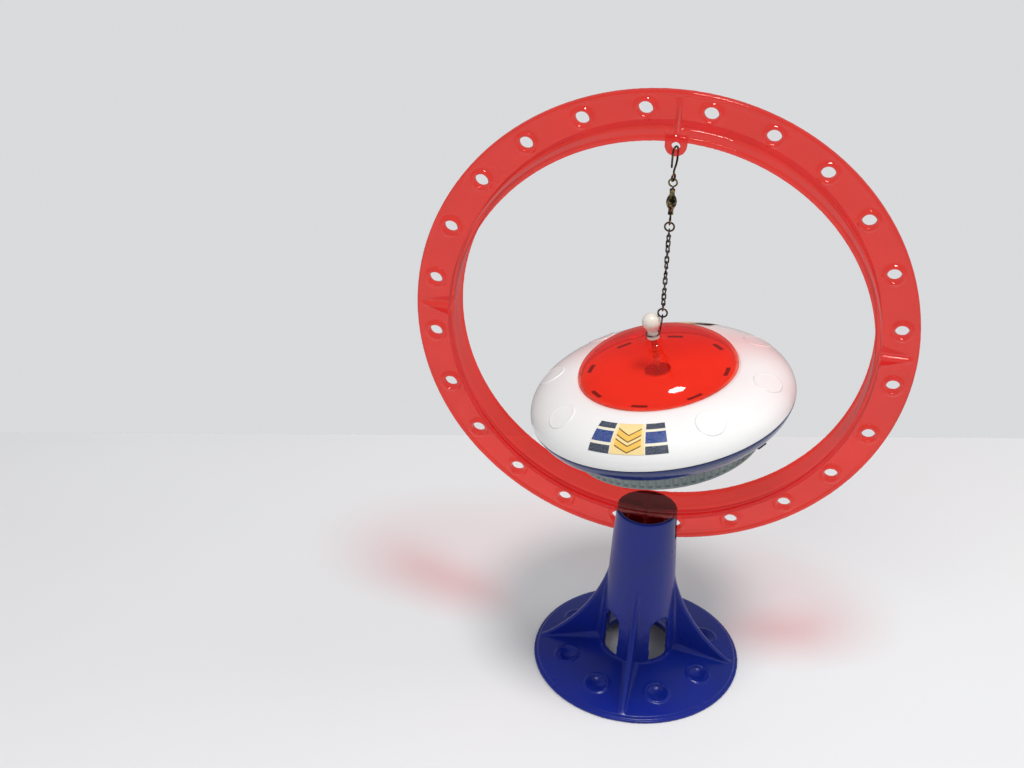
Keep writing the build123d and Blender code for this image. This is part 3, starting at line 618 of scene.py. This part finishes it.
def shell_drop(point):
    """Above 0 for a saucer-frame point outside the white shell's outer skin, below 0 inside it."""
    r = math.hypot(point.x, point.y)
    return ((r - DOME_SEAT_R) / SHELL_W) ** 2 + ((point.z - RIM_S) / SHELL_H) ** 2 - 1


def shell_patch(azimuth_deg, at_r, size, profile, sides=72):
    """A round relief on the shell: profile is (radius, height) pairs from the middle out."""
    turn = math.radians(azimuth_deg)
    beta = math.acos((at_r - DOME_SEAT_R) / SHELL_W)
    out = Vector((math.cos(turn), math.sin(turn), 0))
    foot = out * at_r + Vector((0, 0, RIM_S + SHELL_H * math.sin(beta)))
    normal = (out * (math.cos(beta) / SHELL_W) + Vector((0, 0, math.sin(beta) / SHELL_H))).normalized()
    side = Vector((-math.sin(turn), math.cos(turn), 0))
    up = normal.cross(side)

    def build(first):
        verts, faces = [], []
        for radius, height in profile:
            for k in range(sides):
                angle = 2 * math.pi * k / sides
                point = foot + (side * math.cos(angle) + up * math.sin(angle)) * radius * size
                low, high = -PATCH_REACH, PATCH_REACH
                for _ in range(PATCH_HALVINGS):
                    middle = (low + high) / 2
                    if shell_drop(point + normal * middle) > 0:
                        high = middle
                    else:
                        low = middle
                verts.append(SAUCER @ ((point + normal * (low + height)) * MM))
        for ring in range(len(profile) - 1):
            for k in range(sides):
                m = (k + 1) % sides
                a, b = ring * sides + k, ring * sides + m
                faces.append([first + v for v in (a, b, b + sides, a + sides)])
        faces.append([first + k for k in range(sides)][::-1])
        last = (len(profile) - 1) * sides
        faces.append([first + last + k for k in range(sides)])
        return verts, faces

    return build


PORTHOLE_AT_R = 45.7
PORTHOLE_R = 5.95
PORTHOLE_PROFILE = [
    (0.02, 0.22), (0.5, 0.23), (0.8, 0.24), (0.86, 0.27), (0.9, 0.36), (0.94, 0.38), (0.98, 0.33),
    (1.0, 0.2), (1.02, 0.02), (1.02, -0.5), (0.02, -0.5),
]
PORTHOLE_MIDDLE_DEG = -98.5
PORTHOLE_FIRST_DEG = 41.6
PORTHOLE_STEP_DEG = 45.1
PORTHOLE_DEGS = [
    PORTHOLE_MIDDLE_DEG + side * (PORTHOLE_FIRST_DEG + PORTHOLE_STEP_DEG * number)
    for side in (-1, 1)
    for number in range(3)
]
DECK_SLOT_DEGS = [-97.5 + 45.0 * number for number in range(8)]
DECK_SLOT_HALF_DEG = 6.6
DECK_SLOT_R_IN = 27.5
DECK_SLOT_R_OUT = 29.6
STICKER_DEGS = {"front_decal": -97.0, "rear_decal": 83.0}


def white_shell():
    """The white upper half with its raised portholes."""
    skin = arc((DOME_SEAT_R, RIM_S), (SHELL_W, SHELL_H), 0, 86, 60)
    inner = arc((DOME_SEAT_R, RIM_S), (SHELL_W - 1.8, DECK_S - 1.6 - RIM_S), 90, 0, 30)
    lip = [(33.3, 13.36), (33.1, 13.25), (33.0, 13.1), (33.0, DECK_S), (5.4, DECK_S), (5.4, DECK_S - 1.6)]
    rim = [(52.6, -0.55), (53.9, -0.75), (54.2, -0.6)]
    builders = [lambda first: lathe_data(skin + lip + inner + rim, SAUCER, 288, first=first)]
    for azimuth in PORTHOLE_DEGS:
        builders.append(shell_patch(azimuth, PORTHOLE_AT_R, PORTHOLE_R, PORTHOLE_PROFILE))
    verts, faces = joined(builders)
    stands_for(piece("white_shell", verts, faces, "saucer", [WHITE]), "upper_shell")


def slot_shade_blocks():
    """Dark blocks all but flush with the deck: painted shade of the slots under the dome's edge, as the deck
    has no openings there.
    """
    bottom, top = DECK_S - 1.5, DECK_S + 0.04
    r_in, r_out = DECK_SLOT_R_IN, DECK_SLOT_R_OUT
    outline = softened([(r_in, bottom), (r_out, bottom), (r_out, top), (r_in, top)], 0.3, 2)

    def slot(azimuth):
        start, sweep = azimuth - DECK_SLOT_HALF_DEG, 2 * DECK_SLOT_HALF_DEG
        return lambda first: lathe_data(outline, SAUCER, 12, start, sweep, first)

    verts, faces = joined([slot(azimuth) for azimuth in DECK_SLOT_DEGS])
    # the dark plastic here is painted shade, standing in for the dark inside of the slots
    piece("slot_shade_blocks", verts, faces, "saucer", [DARK])


def dome():
    """The clear lid, with a short neck at its top."""
    thick = 1.4
    neck = [(1.3, 27.9), (3.2, 27.9), (3.5, 27.6), (3.9, 26.6), (4.8, 25.95)]
    outside = arc((0, DOME_S), (DOME_R, DOME_H), 79, 0, 60)
    foot = [(DOME_R, DECK_S + 0.15), (DOME_R - 0.15, DECK_S), (DOME_R - thick, DECK_S)]
    inside = arc((0, DOME_S), (DOME_R - thick, DOME_H - thick), 0, 87, 60)
    outline = neck + outside + foot + inside + [(1.3, DOME_S + DOME_H - thick)]
    cover = lathe("dome_cover", outline, "saucer", DOME_RED)
    # the lid casts no shadow: the deck under it is lit as if it were open
    cover.visible_shadow = False
    stands_for(cover, "dome")


def blue_shell():
    """The blue lower half."""
    skin = [(54.0, -1.1), (54.05, -1.5), (53.6, -2.6), (52.6, -4.4), (51.2, -6.2), (49.2, -7.9), (46.6, -9.3)]
    skin += [(43.6, -10.1), (41.0, -10.5), (40.2, -10.6), (40.0, -10.4)]
    inside = [(40.0, -9.2), (42.4, -8.8), (46.2, -7.5), (48.8, -5.8), (50.2, -3.4), (50.6, -1.1), (50.6, 1.0)]
    rim = [(52.2, 1.0), (52.2, -1.0)]
    stands_for(lathe("blue_shell", skin + inside + rim, "saucer", DEEP_BLUE), "lower_shell")


def fluted_skirt():
    """The silver band: a ring with upright flutes outside that run out above its lower edge."""
    ribs, steps, bottom, top = 72, 12, -19.0, -10.0
    flute_depth, flute_fullness = 0.62, 0.7
    heights = [bottom + 0.35, bottom + 1.0, bottom + 1.6, top - 1.2, top]
    depth = [0.0, 0.0, 1.0, 1.0, 1.0]
    inner = [(38.0, top), (37.6, top), (37.6, bottom), (38.4, bottom)]
    count = len(heights) + 1 + len(inner)
    verts, faces = [], []
    columns = ribs * steps
    for column in range(columns):
        angle = 2 * math.pi * column / columns
        hollow = flute_depth * abs(math.sin(math.pi * (column % steps) / steps)) ** flute_fullness
        outline = [(39.0, bottom)] + [(39.4 - hollow * k, s) for s, k in zip(heights, depth)] + inner
        for r, s in outline:
            verts.append(SAUCER @ (Vector((r * math.cos(angle), r * math.sin(angle), s)) * MM))
    for column in range(columns):
        this, that = column * count, (column + 1) % columns * count
        for i in range(count):
            j = (i + 1) % count
            faces.append([this + i, that + i, that + j, this + j])
    stands_for(piece("fluted_band", verts, faces, "saucer", [SILVER]), "ribbed_skirt")


STICKER_TOP_R = 40.9
STICKER_BOTTOM_R = 52.2
STICKER_HALF_DEG = 17.9
STICKER_T = 0.11
# shares of the sticker's width, measured from its middle
CHEVRON_HALF = 0.17
PANEL_HALF = 0.212
PANEL_EDGE_HALF = 0.226
# how steeply the chevrons slope, and how fast the lifted corner settles down and across the sticker
CHEVRON_SLOPE = 1.3
PEEL_DOWN = 2.2
PEEL_ACROSS = 1.6


def sticker_paint():
    """Printed paper: three bars each side of a gold panel that carries two plain chevrons."""
    paint = Paint("sticker", (0.9, 0.86, 0.7), 0.3, coat=0.3)
    split = paint.node("ShaderNodeSeparateXYZ")
    uv = paint.node("ShaderNodeUVMap", uv_map="print")
    paint.link(uv.outputs["UV"], split.inputs["Vector"])
    across, down = split.outputs["X"], split.outputs["Y"]
    side = paint.math("ABSOLUTE", paint.math("SUBTRACT", across, 0.5), 0.0)

    def bands(value, stops):
        ramp = paint.node("ShaderNodeValToRGB")
        ramp.color_ramp.interpolation = "CONSTANT"
        elements = ramp.color_ramp.elements
        for number, (at, colour) in enumerate(stops):
            element = elements[number] if number < 2 else elements.new(at)
            element.position = at
            element.color = (*colour, 1)
        paint.link(value, ramp.inputs["Fac"])
        return ramp.outputs["Color"]

    slate, blue, cream = (0.035, 0.05, 0.085), (0.018, 0.055, 0.24), (0.82, 0.78, 0.62)
    bars = bands(down, [(0.0, slate), (0.19, cream), (0.27, blue), (0.64, cream), (0.73, slate)])
    ground, line, gold = (0.90, 0.68, 0.30), (0.16, 0.07, 0.01), (0.86, 0.52, 0.08)
    rise = paint.math("ADD", down, paint.math("MULTIPLY", side, CHEVRON_SLOPE))
    chevrons = bands(
        rise,
        [
            (0.0, ground), (0.36, line), (0.40, gold), (0.57, line), (0.61, ground),
            (0.70, line), (0.74, gold), (0.91, line), (0.95, ground),
        ],
    )
    inside = paint.math("LESS_THAN", side, CHEVRON_HALF)
    fade = paint.ranged(down, 0, 1, (0.0, 0.5))
    plain = paint.mixed(fade, (0.93, 0.78, 0.50), ground)
    panel = paint.mixed(inside, plain, chevrons)
    in_panel = paint.math("LESS_THAN", side, PANEL_HALF)
    edge = paint.math("LESS_THAN", side, PANEL_EDGE_HALF)
    printed = paint.mixed(in_panel, paint.mixed(edge, bars, cream), panel)
    speck = paint.ranged(paint.noise(0.5, 3), 0, 0.22, (0.45, 0.75))
    paint.link(paint.mixed(speck, printed, (0.6, 0.56, 0.48)), paint.shader.inputs["Base Color"])
    paint.rough(0.06, 4)
    paint.bump(paint.noise(0.6, 3), 0.08)
    return paint.material


def sticker(node, name, material, lifted=0.0):
    """A thin printed sheet on the shell; lifted raises its upper corner, in mm."""
    columns, rows = 48, 18
    middle = STICKER_DEGS[node]
    top = math.acos((STICKER_TOP_R - DOME_SEAT_R) / SHELL_W)
    bottom = math.acos((STICKER_BOTTOM_R - DOME_SEAT_R) / SHELL_W)
    verts, uvs = [], []
    for level in (STICKER_T, 0.01):
        for row in range(rows + 1):
            beta = top + (bottom - top) * row / rows
            for column in range(columns + 1):
                share = column / columns
                turn = math.radians(middle + STICKER_HALF_DEG * (2 * share - 1))
                peel = lifted * max(0.0, 1 - row / rows * PEEL_DOWN) ** 2
                peel *= max(0.0, 1 - share * PEEL_ACROSS) ** 2
                out = Vector((math.cos(turn), math.sin(turn), 0))
                point = out * (DOME_SEAT_R + SHELL_W * math.cos(beta))
                point += Vector((0, 0, RIM_S + SHELL_H * math.sin(beta)))
                normal = out * (math.cos(beta) / SHELL_W) + Vector((0, 0, math.sin(beta) / SHELL_H))
                verts.append(SAUCER @ ((point + normal.normalized() * (level + peel)) * MM))
                uvs.append((share, row / rows))
    wide, layer = columns + 1, (columns + 1) * (rows + 1)
    faces = []
    for row in range(rows):
        for column in range(columns):
            a = row * wide + column
            quad = (a, a + 1, a + 1 + wide, a + wide)
            faces.append(quad[::-1])
            faces.append([v + layer for v in quad])
    border = list(range(columns))
    border += [columns + r * wide for r in range(rows)]
    border += [rows * wide + c for c in range(columns, 0, -1)]
    border += [r * wide for r in range(rows, 0, -1)]
    for a, b in zip(border, border[1:] + border[:1]):
        faces.append((a, b, b + layer, a + layer))
    mesh = bpy.data.meshes.new(name)
    mesh.from_pydata([tuple(v) for v in verts], [], faces)
    layer_uv = mesh.uv_layers.new(name="print")
    for loop in mesh.loops:
        layer_uv.data[loop.index].uv = uvs[loop.vertex_index]
    mesh.polygons.foreach_set("use_smooth", [True] * len(mesh.polygons))
    mesh.set_sharp_from_angle(angle=math.radians(40))
    mesh.materials.append(material)
    mesh.materials.append(PAPER)
    for number, face in enumerate(mesh.polygons):
        printed_side = number < 2 * rows * columns and number % 2 == 0
        face.material_index = 0 if printed_side else 1
    obj = bpy.data.objects.new(name, mesh)
    bpy.context.scene.collection.objects.link(obj)
    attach(obj, "saucer")
    stands_for(obj, node)


# ---------------------------------------------------------------- suspension
LINKS_PER_RUN = 5
LINKS = 3 * LINKS_PER_RUN
LINK_TWISTS_DEG = (20, 50, 60, 40, 10)
LINK_WIRE_R = 0.31
LINK_ARC_R = 0.68
LINK_PLAY = 0.04
HOOK_TURN_DEG = 20
HOOK_LEG = 2.2
HOOK_LOOP_R = 1.3
HOOK_WIRE_R = 0.42
HOOK_TIP_Z = 238.1
HOOK_LEG_END_Z = 238.8
HOOK_NECK_Z = 235.9
EYE_OFFSET = 7.85
EYE_R = 1.55
EYE_WIRE_R = 0.35
SHANK_FROM = 1.4
SHANK_TO = 5.6
JUMP_GAP_DEG = 7
HANGER_EYE_R = 1.15
HANGER_WIRE_R = 0.32
NECK_LOOP_R = 2.8
NECK_LOOP_S = 29.9
KNOB_R = 3.7
KNOB_S = 35.1
KNOB_FOOT_S = 27.95
PIN_HOLE_R = 1.3
PIN_TOP_S = 33.4
SLIT_DEG = 115
SLIT_HALF_W = 0.35
SLIT_FLOOR_S = 37.3
TIP_BALL_R = 2.6
TIP_S = -27.0


def rounded_path(points, rounds=3):
    """A path with its corners cut and cut again, ends kept."""
    for _ in range(rounds):
        cut = [points[0]]
        for here, there in zip(points, points[1:]):
            cut += [here.lerp(there, 0.25), here.lerp(there, 0.75)]
        points = cut + [points[-1]]
    return points


def ring_path(centre, radius, along, across, start_deg, end_deg, steps):
    """Points on a part of a circle; 0 degrees is on the side of along, 90 on that of across."""
    return [
        centre + along * (radius * math.cos(a)) + across * (radius * math.sin(a))
        for a in (math.radians(start_deg + (end_deg - start_deg) * k / steps) for k in range(steps + 1))
    ]


def bent_hook():
    """A short leg, a bend through the ring's tab, a long leg and a closed loop, in one plane."""
    turn = math.radians(HOOK_TURN_DEG)
    side = Vector((math.sin(turn), math.cos(turn), 0))
    low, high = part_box("suspension_hook")
    bend_z = high.z / MM - HOOK_WIRE_R - HOOK_LEG
    loop_z = low.z / MM + HOOK_LOOP_R + HOOK_WIRE_R - 0.02
    path = [side * -HOOK_LEG + UP * HOOK_TIP_Z, side * -HOOK_LEG + UP * (bend_z - 0.5)]
    path += ring_path(UP * bend_z, HOOK_LEG, side, UP, 180, 0, 16)
    path += [side * HOOK_LEG + UP * HOOK_LEG_END_Z, UP * HOOK_NECK_Z, UP * (loop_z + HOOK_LOOP_R + 0.4)]
    path += ring_path(UP * loop_z, HOOK_LOOP_R, side, UP, 75, -245, 24)
    body = NODES["suspension_hook"]["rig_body"]
    stands_for(wire("bent_hook", rounded_path(path, 2), HOOK_WIRE_R - 0.01, body, BRONZE), "suspension_hook")


def swivel_eye(node, sign, across):
    """A shank that opens into a ring, above the barrel (sign 1) or below it (-1)."""
    centre = UP * (SWIVEL_Z + sign * EYE_OFFSET)
    path = [UP * (SWIVEL_Z + sign * SHANK_FROM), UP * (SWIVEL_Z + sign * SHANK_TO)]
    path += ring_path(centre, EYE_R, UP * -sign, across, 14, 345, 36)
    stands_for(wire(f"wire_{node}", rounded_path(path, 2), EYE_WIRE_R, NODES[node]["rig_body"], SWIVEL), node)


def swivel_barrel():
    """Collars either side of a bulb, hollow inside."""
    collar = [(0.45, 5.25), (0.9, 5.25), (1.08, 5.1), (1.12, 4.8), (1.04, 4.5), (0.98, 4.2), (0.98, 3.1)]
    half = collar + [(1.1, 2.75), (1.42, 2.2), (1.72, 1.6), (1.93, 0.95), (2.03, 0.35)]
    cavity = [(0.45, -1.9), (1.4, -1.0), (1.4, 1.0), (0.45, 1.9)]
    outline = half + [(r, -s) for r, s in reversed(half)] + cavity
    place = Matrix.Translation(Vector((0, 0, SWIVEL_Z)) * MM)
    stands_for(lathe("barrel_shell", outline, "barrel", SWIVEL, place, 64), "swivel_barrel")


def bent_hanger():
    """An eye on the lower jump ring, a stem, and a loop round the knob's neck."""
    eye = UP * (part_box("knob_hanger")[1].z / MM - HANGER_EYE_R - HANGER_WIRE_R)
    x_axis, y_axis, spin = (SAUCER.col[k].to_3d().normalized() for k in range(3))
    neck = SAUCER.translation / MM + spin * NECK_LOOP_S
    beside = neck + x_axis * NECK_LOOP_R
    path = ring_path(eye, HANGER_EYE_R, -UP, Vector((0, 1, 0)), 350, 15, 30)
    path += [eye - UP * (HANGER_EYE_R + 0.3), eye.lerp(beside, 0.55), beside + x_axis * 0.05 + spin * 0.4]
    path += ring_path(neck, NECK_LOOP_R, x_axis, y_axis, 12, 346, 40)
    stands_for(wire("bent_hanger", rounded_path(path, 2), HANGER_WIRE_R, "hanger", STEEL_WIRE), "knob_hanger")


def slit_cutter():
    """An upright thin block where the slit is cut across the knob's crown."""
    place = SAUCER @ Matrix.Translation(Vector((0, 0, SLIT_FLOOR_S)) * MM)
    place = place @ Matrix.Rotation(math.radians(SLIT_DEG), 4, "Z")
    verts, reach, height = [], 5, 3
    for x, y in ((-reach, -SLIT_HALF_W), (reach, -SLIT_HALF_W), (reach, SLIT_HALF_W), (-reach, SLIT_HALF_W)):
        verts += [place @ (Vector((x, y, 0)) * MM), place @ (Vector((x, y, height)) * MM)]
    faces = [(0, 2, 4, 6), (7, 5, 3, 1), (0, 1, 3, 2), (2, 3, 5, 4), (4, 5, 7, 6), (6, 7, 1, 0)]
    mesh = bpy.data.meshes.new("slit_cutter")
    mesh.from_pydata([tuple(v) for v in verts], [], faces)
    cutter = bpy.data.objects.new("slit_cutter", mesh)
    bpy.context.scene.collection.objects.link(cutter)
    return cutter


def slit_knob():
    """A slit ball on a waisted neck."""
    crown = arc((0, KNOB_S), (KNOB_R, KNOB_R), 90, -34, 30)
    neck = [(2.75, 32.5), (2.3, 31.7), (2.12, 30.9), (2.08, 30.2), (2.1, 29.6), (2.25, 29.0), (2.5, 28.6)]
    foot = [(2.5, 28.1), (2.35, KNOB_FOOT_S)]
    pin_hole = [(PIN_HOLE_R, KNOB_FOOT_S), (PIN_HOLE_R, PIN_TOP_S), (0, PIN_TOP_S)]
    outline = [(0, KNOB_S + KNOB_R)] + crown[1:] + neck + foot + pin_hole
    ball = lathe("slit_knob", outline, "saucer", IVORY, segments=72)
    cutter = slit_cutter()
    evaluated(ball, [("BOOLEAN", {"operation": "DIFFERENCE", "object": cutter, "solver": "EXACT"})])
    bpy.data.objects.remove(cutter)
    stands_for(ball, "knob")


def ball_tip():
    """The ball under the saucer on its stepped mount."""
    ball = arc((0, TIP_S), (TIP_BALL_R, TIP_BALL_R), -90, 52, 20)
    mount = [(1.6, -24.6), (1.6, -24.0), (2.2, -23.8), (5.0, -23.2), (5.2, -23.0), (5.2, -22.0), (0, -22.0)]
    stands_for(lathe("ball_tip", ball + mount, "saucer", STEEL, segments=72), "bottom_tip")


def chain():
    """Twisted oval links, each set crosswise to the end of the one above, five to a body."""
    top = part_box("chain_upper")[1].z / MM
    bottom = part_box("chain_lower")[0].z / MM
    overlap = 4 * LINK_WIRE_R + LINK_PLAY
    pitch = (top - bottom - overlap) / LINKS
    half = (pitch + overlap) / 2 - LINK_WIRE_R
    straight = half - LINK_ARC_R
    radii = (LINK_ARC_R, LINK_ARC_R)
    oval = arc((0, straight), radii, 0, 180, 12) + arc((0, -straight), radii, 180, 360, 12)

    def link(middle, turn, twist):
        line = []
        for x, z in oval:
            angle = math.radians(turn + twist * (half - z) / (2 * half))
            line.append(Vector((x * math.cos(angle), x * math.sin(angle), middle + z)))
        return lambda first: tube_data(line, LINK_WIRE_R, True, 10, first)

    turn = 90.0
    for run, node in enumerate(("chain_upper", "chain_middle", "chain_lower")):
        builders = []
        for place_in_run, twist in enumerate(LINK_TWISTS_DEG):
            number = LINKS_PER_RUN * run + place_in_run
            builders.append(link(top - LINK_WIRE_R - half - number * pitch, turn, twist))
            turn += twist + 90
        verts, faces = joined(builders)
        body = NODES[node]["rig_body"]
        stands_for(piece(f"curb_{node}", verts, faces, body, [CHAIN], sharp_deg=60), node)


def jump_ring(node, seam_deg):
    """A round wire ring with a fine gap where its ends meet."""
    low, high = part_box(node)
    centre = (low + high) / 2 / MM
    wire_r = (high.y - low.y) / 2 / MM
    major = (high.z - low.z) / 2 / MM - wire_r
    steps = 56
    points = []
    for k in range(steps + 1):
        angle = math.radians(seam_deg + JUMP_GAP_DEG / 2 + (360 - JUMP_GAP_DEG) * k / steps)
        points.append(centre + Vector((math.cos(angle), 0, math.sin(angle))) * major)
    stands_for(wire(f"wire_{node}", points, wire_r, NODES[node]["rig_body"], BRONZE), node)


# ---------------------------------------------------------------- stage, light and camera
FLOOR_REACH = 3000.0
FLOOR_BACK = 181.0
FLOOR_EDGE_TURN = 1.9
CAMERA_AT = (47.55, -538.0, 463.4)
CAMERA_LENS = 54.09
CAMERA_YAW = 11.31
CAMERA_DOWN = 31.0
CAMERA_ROLL = 1.35


def plain_floor():
    """A pale table top whose back edge is the line behind the object."""
    turn = Matrix.Rotation(math.radians(CAMERA_YAW + FLOOR_EDGE_TURN), 4, "Z")
    reach, back = FLOOR_REACH, FLOOR_BACK
    corners = [(-reach, -reach), (reach, -reach), (reach, back), (-reach, back)]
    verts = [turn @ Vector((x * MM, y * MM, 0)) for x, y in corners]
    mesh = bpy.data.meshes.new("floor")
    mesh.from_pydata(verts, [], [(0, 1, 2, 3)])
    floor = bpy.data.objects.new("floor", mesh)
    bpy.context.scene.collection.objects.link(floor)
    paint = Paint("floor_paint", (0.8, 0.8, 0.8), 0.55)
    cloud = paint.ranged(paint.noise(120, 3), 0, 1)
    shades = paint.mixed(cloud, (0.84, 0.84, 0.845), (0.82, 0.82, 0.825))
    paint.link(shades, paint.shader.inputs["Base Color"])
    paint.rough(0.05, 60, 0.0)
    mesh.materials.append(paint.material)


def soft_light(name, at_mm, towards_mm, size_mm, watts, mirrored=True):
    """A round area lamp; one that is not mirrored leaves no bright spot on glossy pieces."""
    data = bpy.data.lights.new(name, "AREA")
    data.shape = "DISK"
    data.size = size_mm * MM
    data.energy = watts
    lamp = bpy.data.objects.new(name, data)
    lamp.location = Vector(at_mm) * MM
    lamp.visible_glossy = mirrored
    lamp.rotation_mode = "QUATERNION"
    lamp.rotation_quaternion = (Vector(towards_mm) - Vector(at_mm)).to_track_quat("-Z", "Y")
    bpy.context.scene.collection.objects.link(lamp)


def light_scene():
    """A grey wall for the camera, a dimmer glow on the object, a ceiling lamp and soft fills."""
    world = bpy.data.worlds.new("studio")
    world.use_nodes = True
    tree = world.node_tree
    sky = tree.nodes["Background"]
    seen = tree.nodes.new("ShaderNodeLightPath")
    wall = tree.nodes.new("ShaderNodeMix")
    wall.data_type = "RGBA"
    wall.inputs["A"].default_value = (0.34, 0.345, 0.355, 1)
    wall.inputs["B"].default_value = (0.70, 0.705, 0.72, 1)
    tree.links.new(seen.outputs["Is Camera Ray"], wall.inputs["Factor"])
    tree.links.new(wall.outputs["Result"], sky.inputs["Color"])
    sky.inputs["Strength"].default_value = 1.0
    bpy.context.scene.world = world
    bpy.context.scene.view_settings.view_transform = "Standard"
    middle = (0, 0, 130)
    soft_light("ceiling_lamp", (98, -184, 936), middle, size_mm=230, watts=4.3)
    soft_light("front_fill", (-350, -800, 900), middle, size_mm=700, watts=3.2, mirrored=False)
    soft_light("side_fill", (800, 150, 700), middle, size_mm=600, watts=2.6, mirrored=False)


def place_camera():
    data = bpy.data.cameras.new("camera")
    data.lens = CAMERA_LENS
    data.sensor_width = 36.0
    camera = bpy.data.objects.new("camera", data)
    turn = (
        Matrix.Rotation(math.radians(CAMERA_YAW), 4, "Z")
        @ Matrix.Rotation(math.radians(90 - CAMERA_DOWN), 4, "X")
        @ Matrix.Rotation(math.radians(CAMERA_ROLL), 4, "Z")
    )
    camera.matrix_world = Matrix.Translation(Vector(CAMERA_AT) * MM) @ turn
    bpy.context.scene.collection.objects.link(camera)
    bpy.context.scene.camera = camera


paint_cad_nodes()
pedestal()
ring = moulded_copy("ring", "clear_ring", voxel_mm=0.45, rounds=4, material=RED)
# the ring is not mirrored in other pieces: its reflection drew a hard line across the lid
ring.visible_glossy = False
moulded_copy("bottom_cover", "lower_cover", voxel_mm=0.45, rounds=3, material=DARK)
moulded_copy("strip_guide", "moulded_guide", voxel_mm=0.3, rounds=2, material=DARK)
white_shell()
slot_shade_blocks()
dome()
blue_shell()
fluted_skirt()
STICKER = sticker_paint()
sticker("front_decal", "front_sticker", STICKER)
sticker("rear_decal", "rear_sticker", STICKER, lifted=1.1)
chain()
jump_ring("upper_jump_ring", seam_deg=150)
jump_ring("lower_jump_ring", seam_deg=215)
bent_hook()
swivel_eye("swivel_upper_eye", 1, Vector((1, 0, 0)))
swivel_eye("swivel_lower_eye", -1, Vector((0, 1, 0)))
swivel_barrel()
bent_hanger()
slit_knob()
ball_tip()
plain_floor()
light_scene()
place_camera()
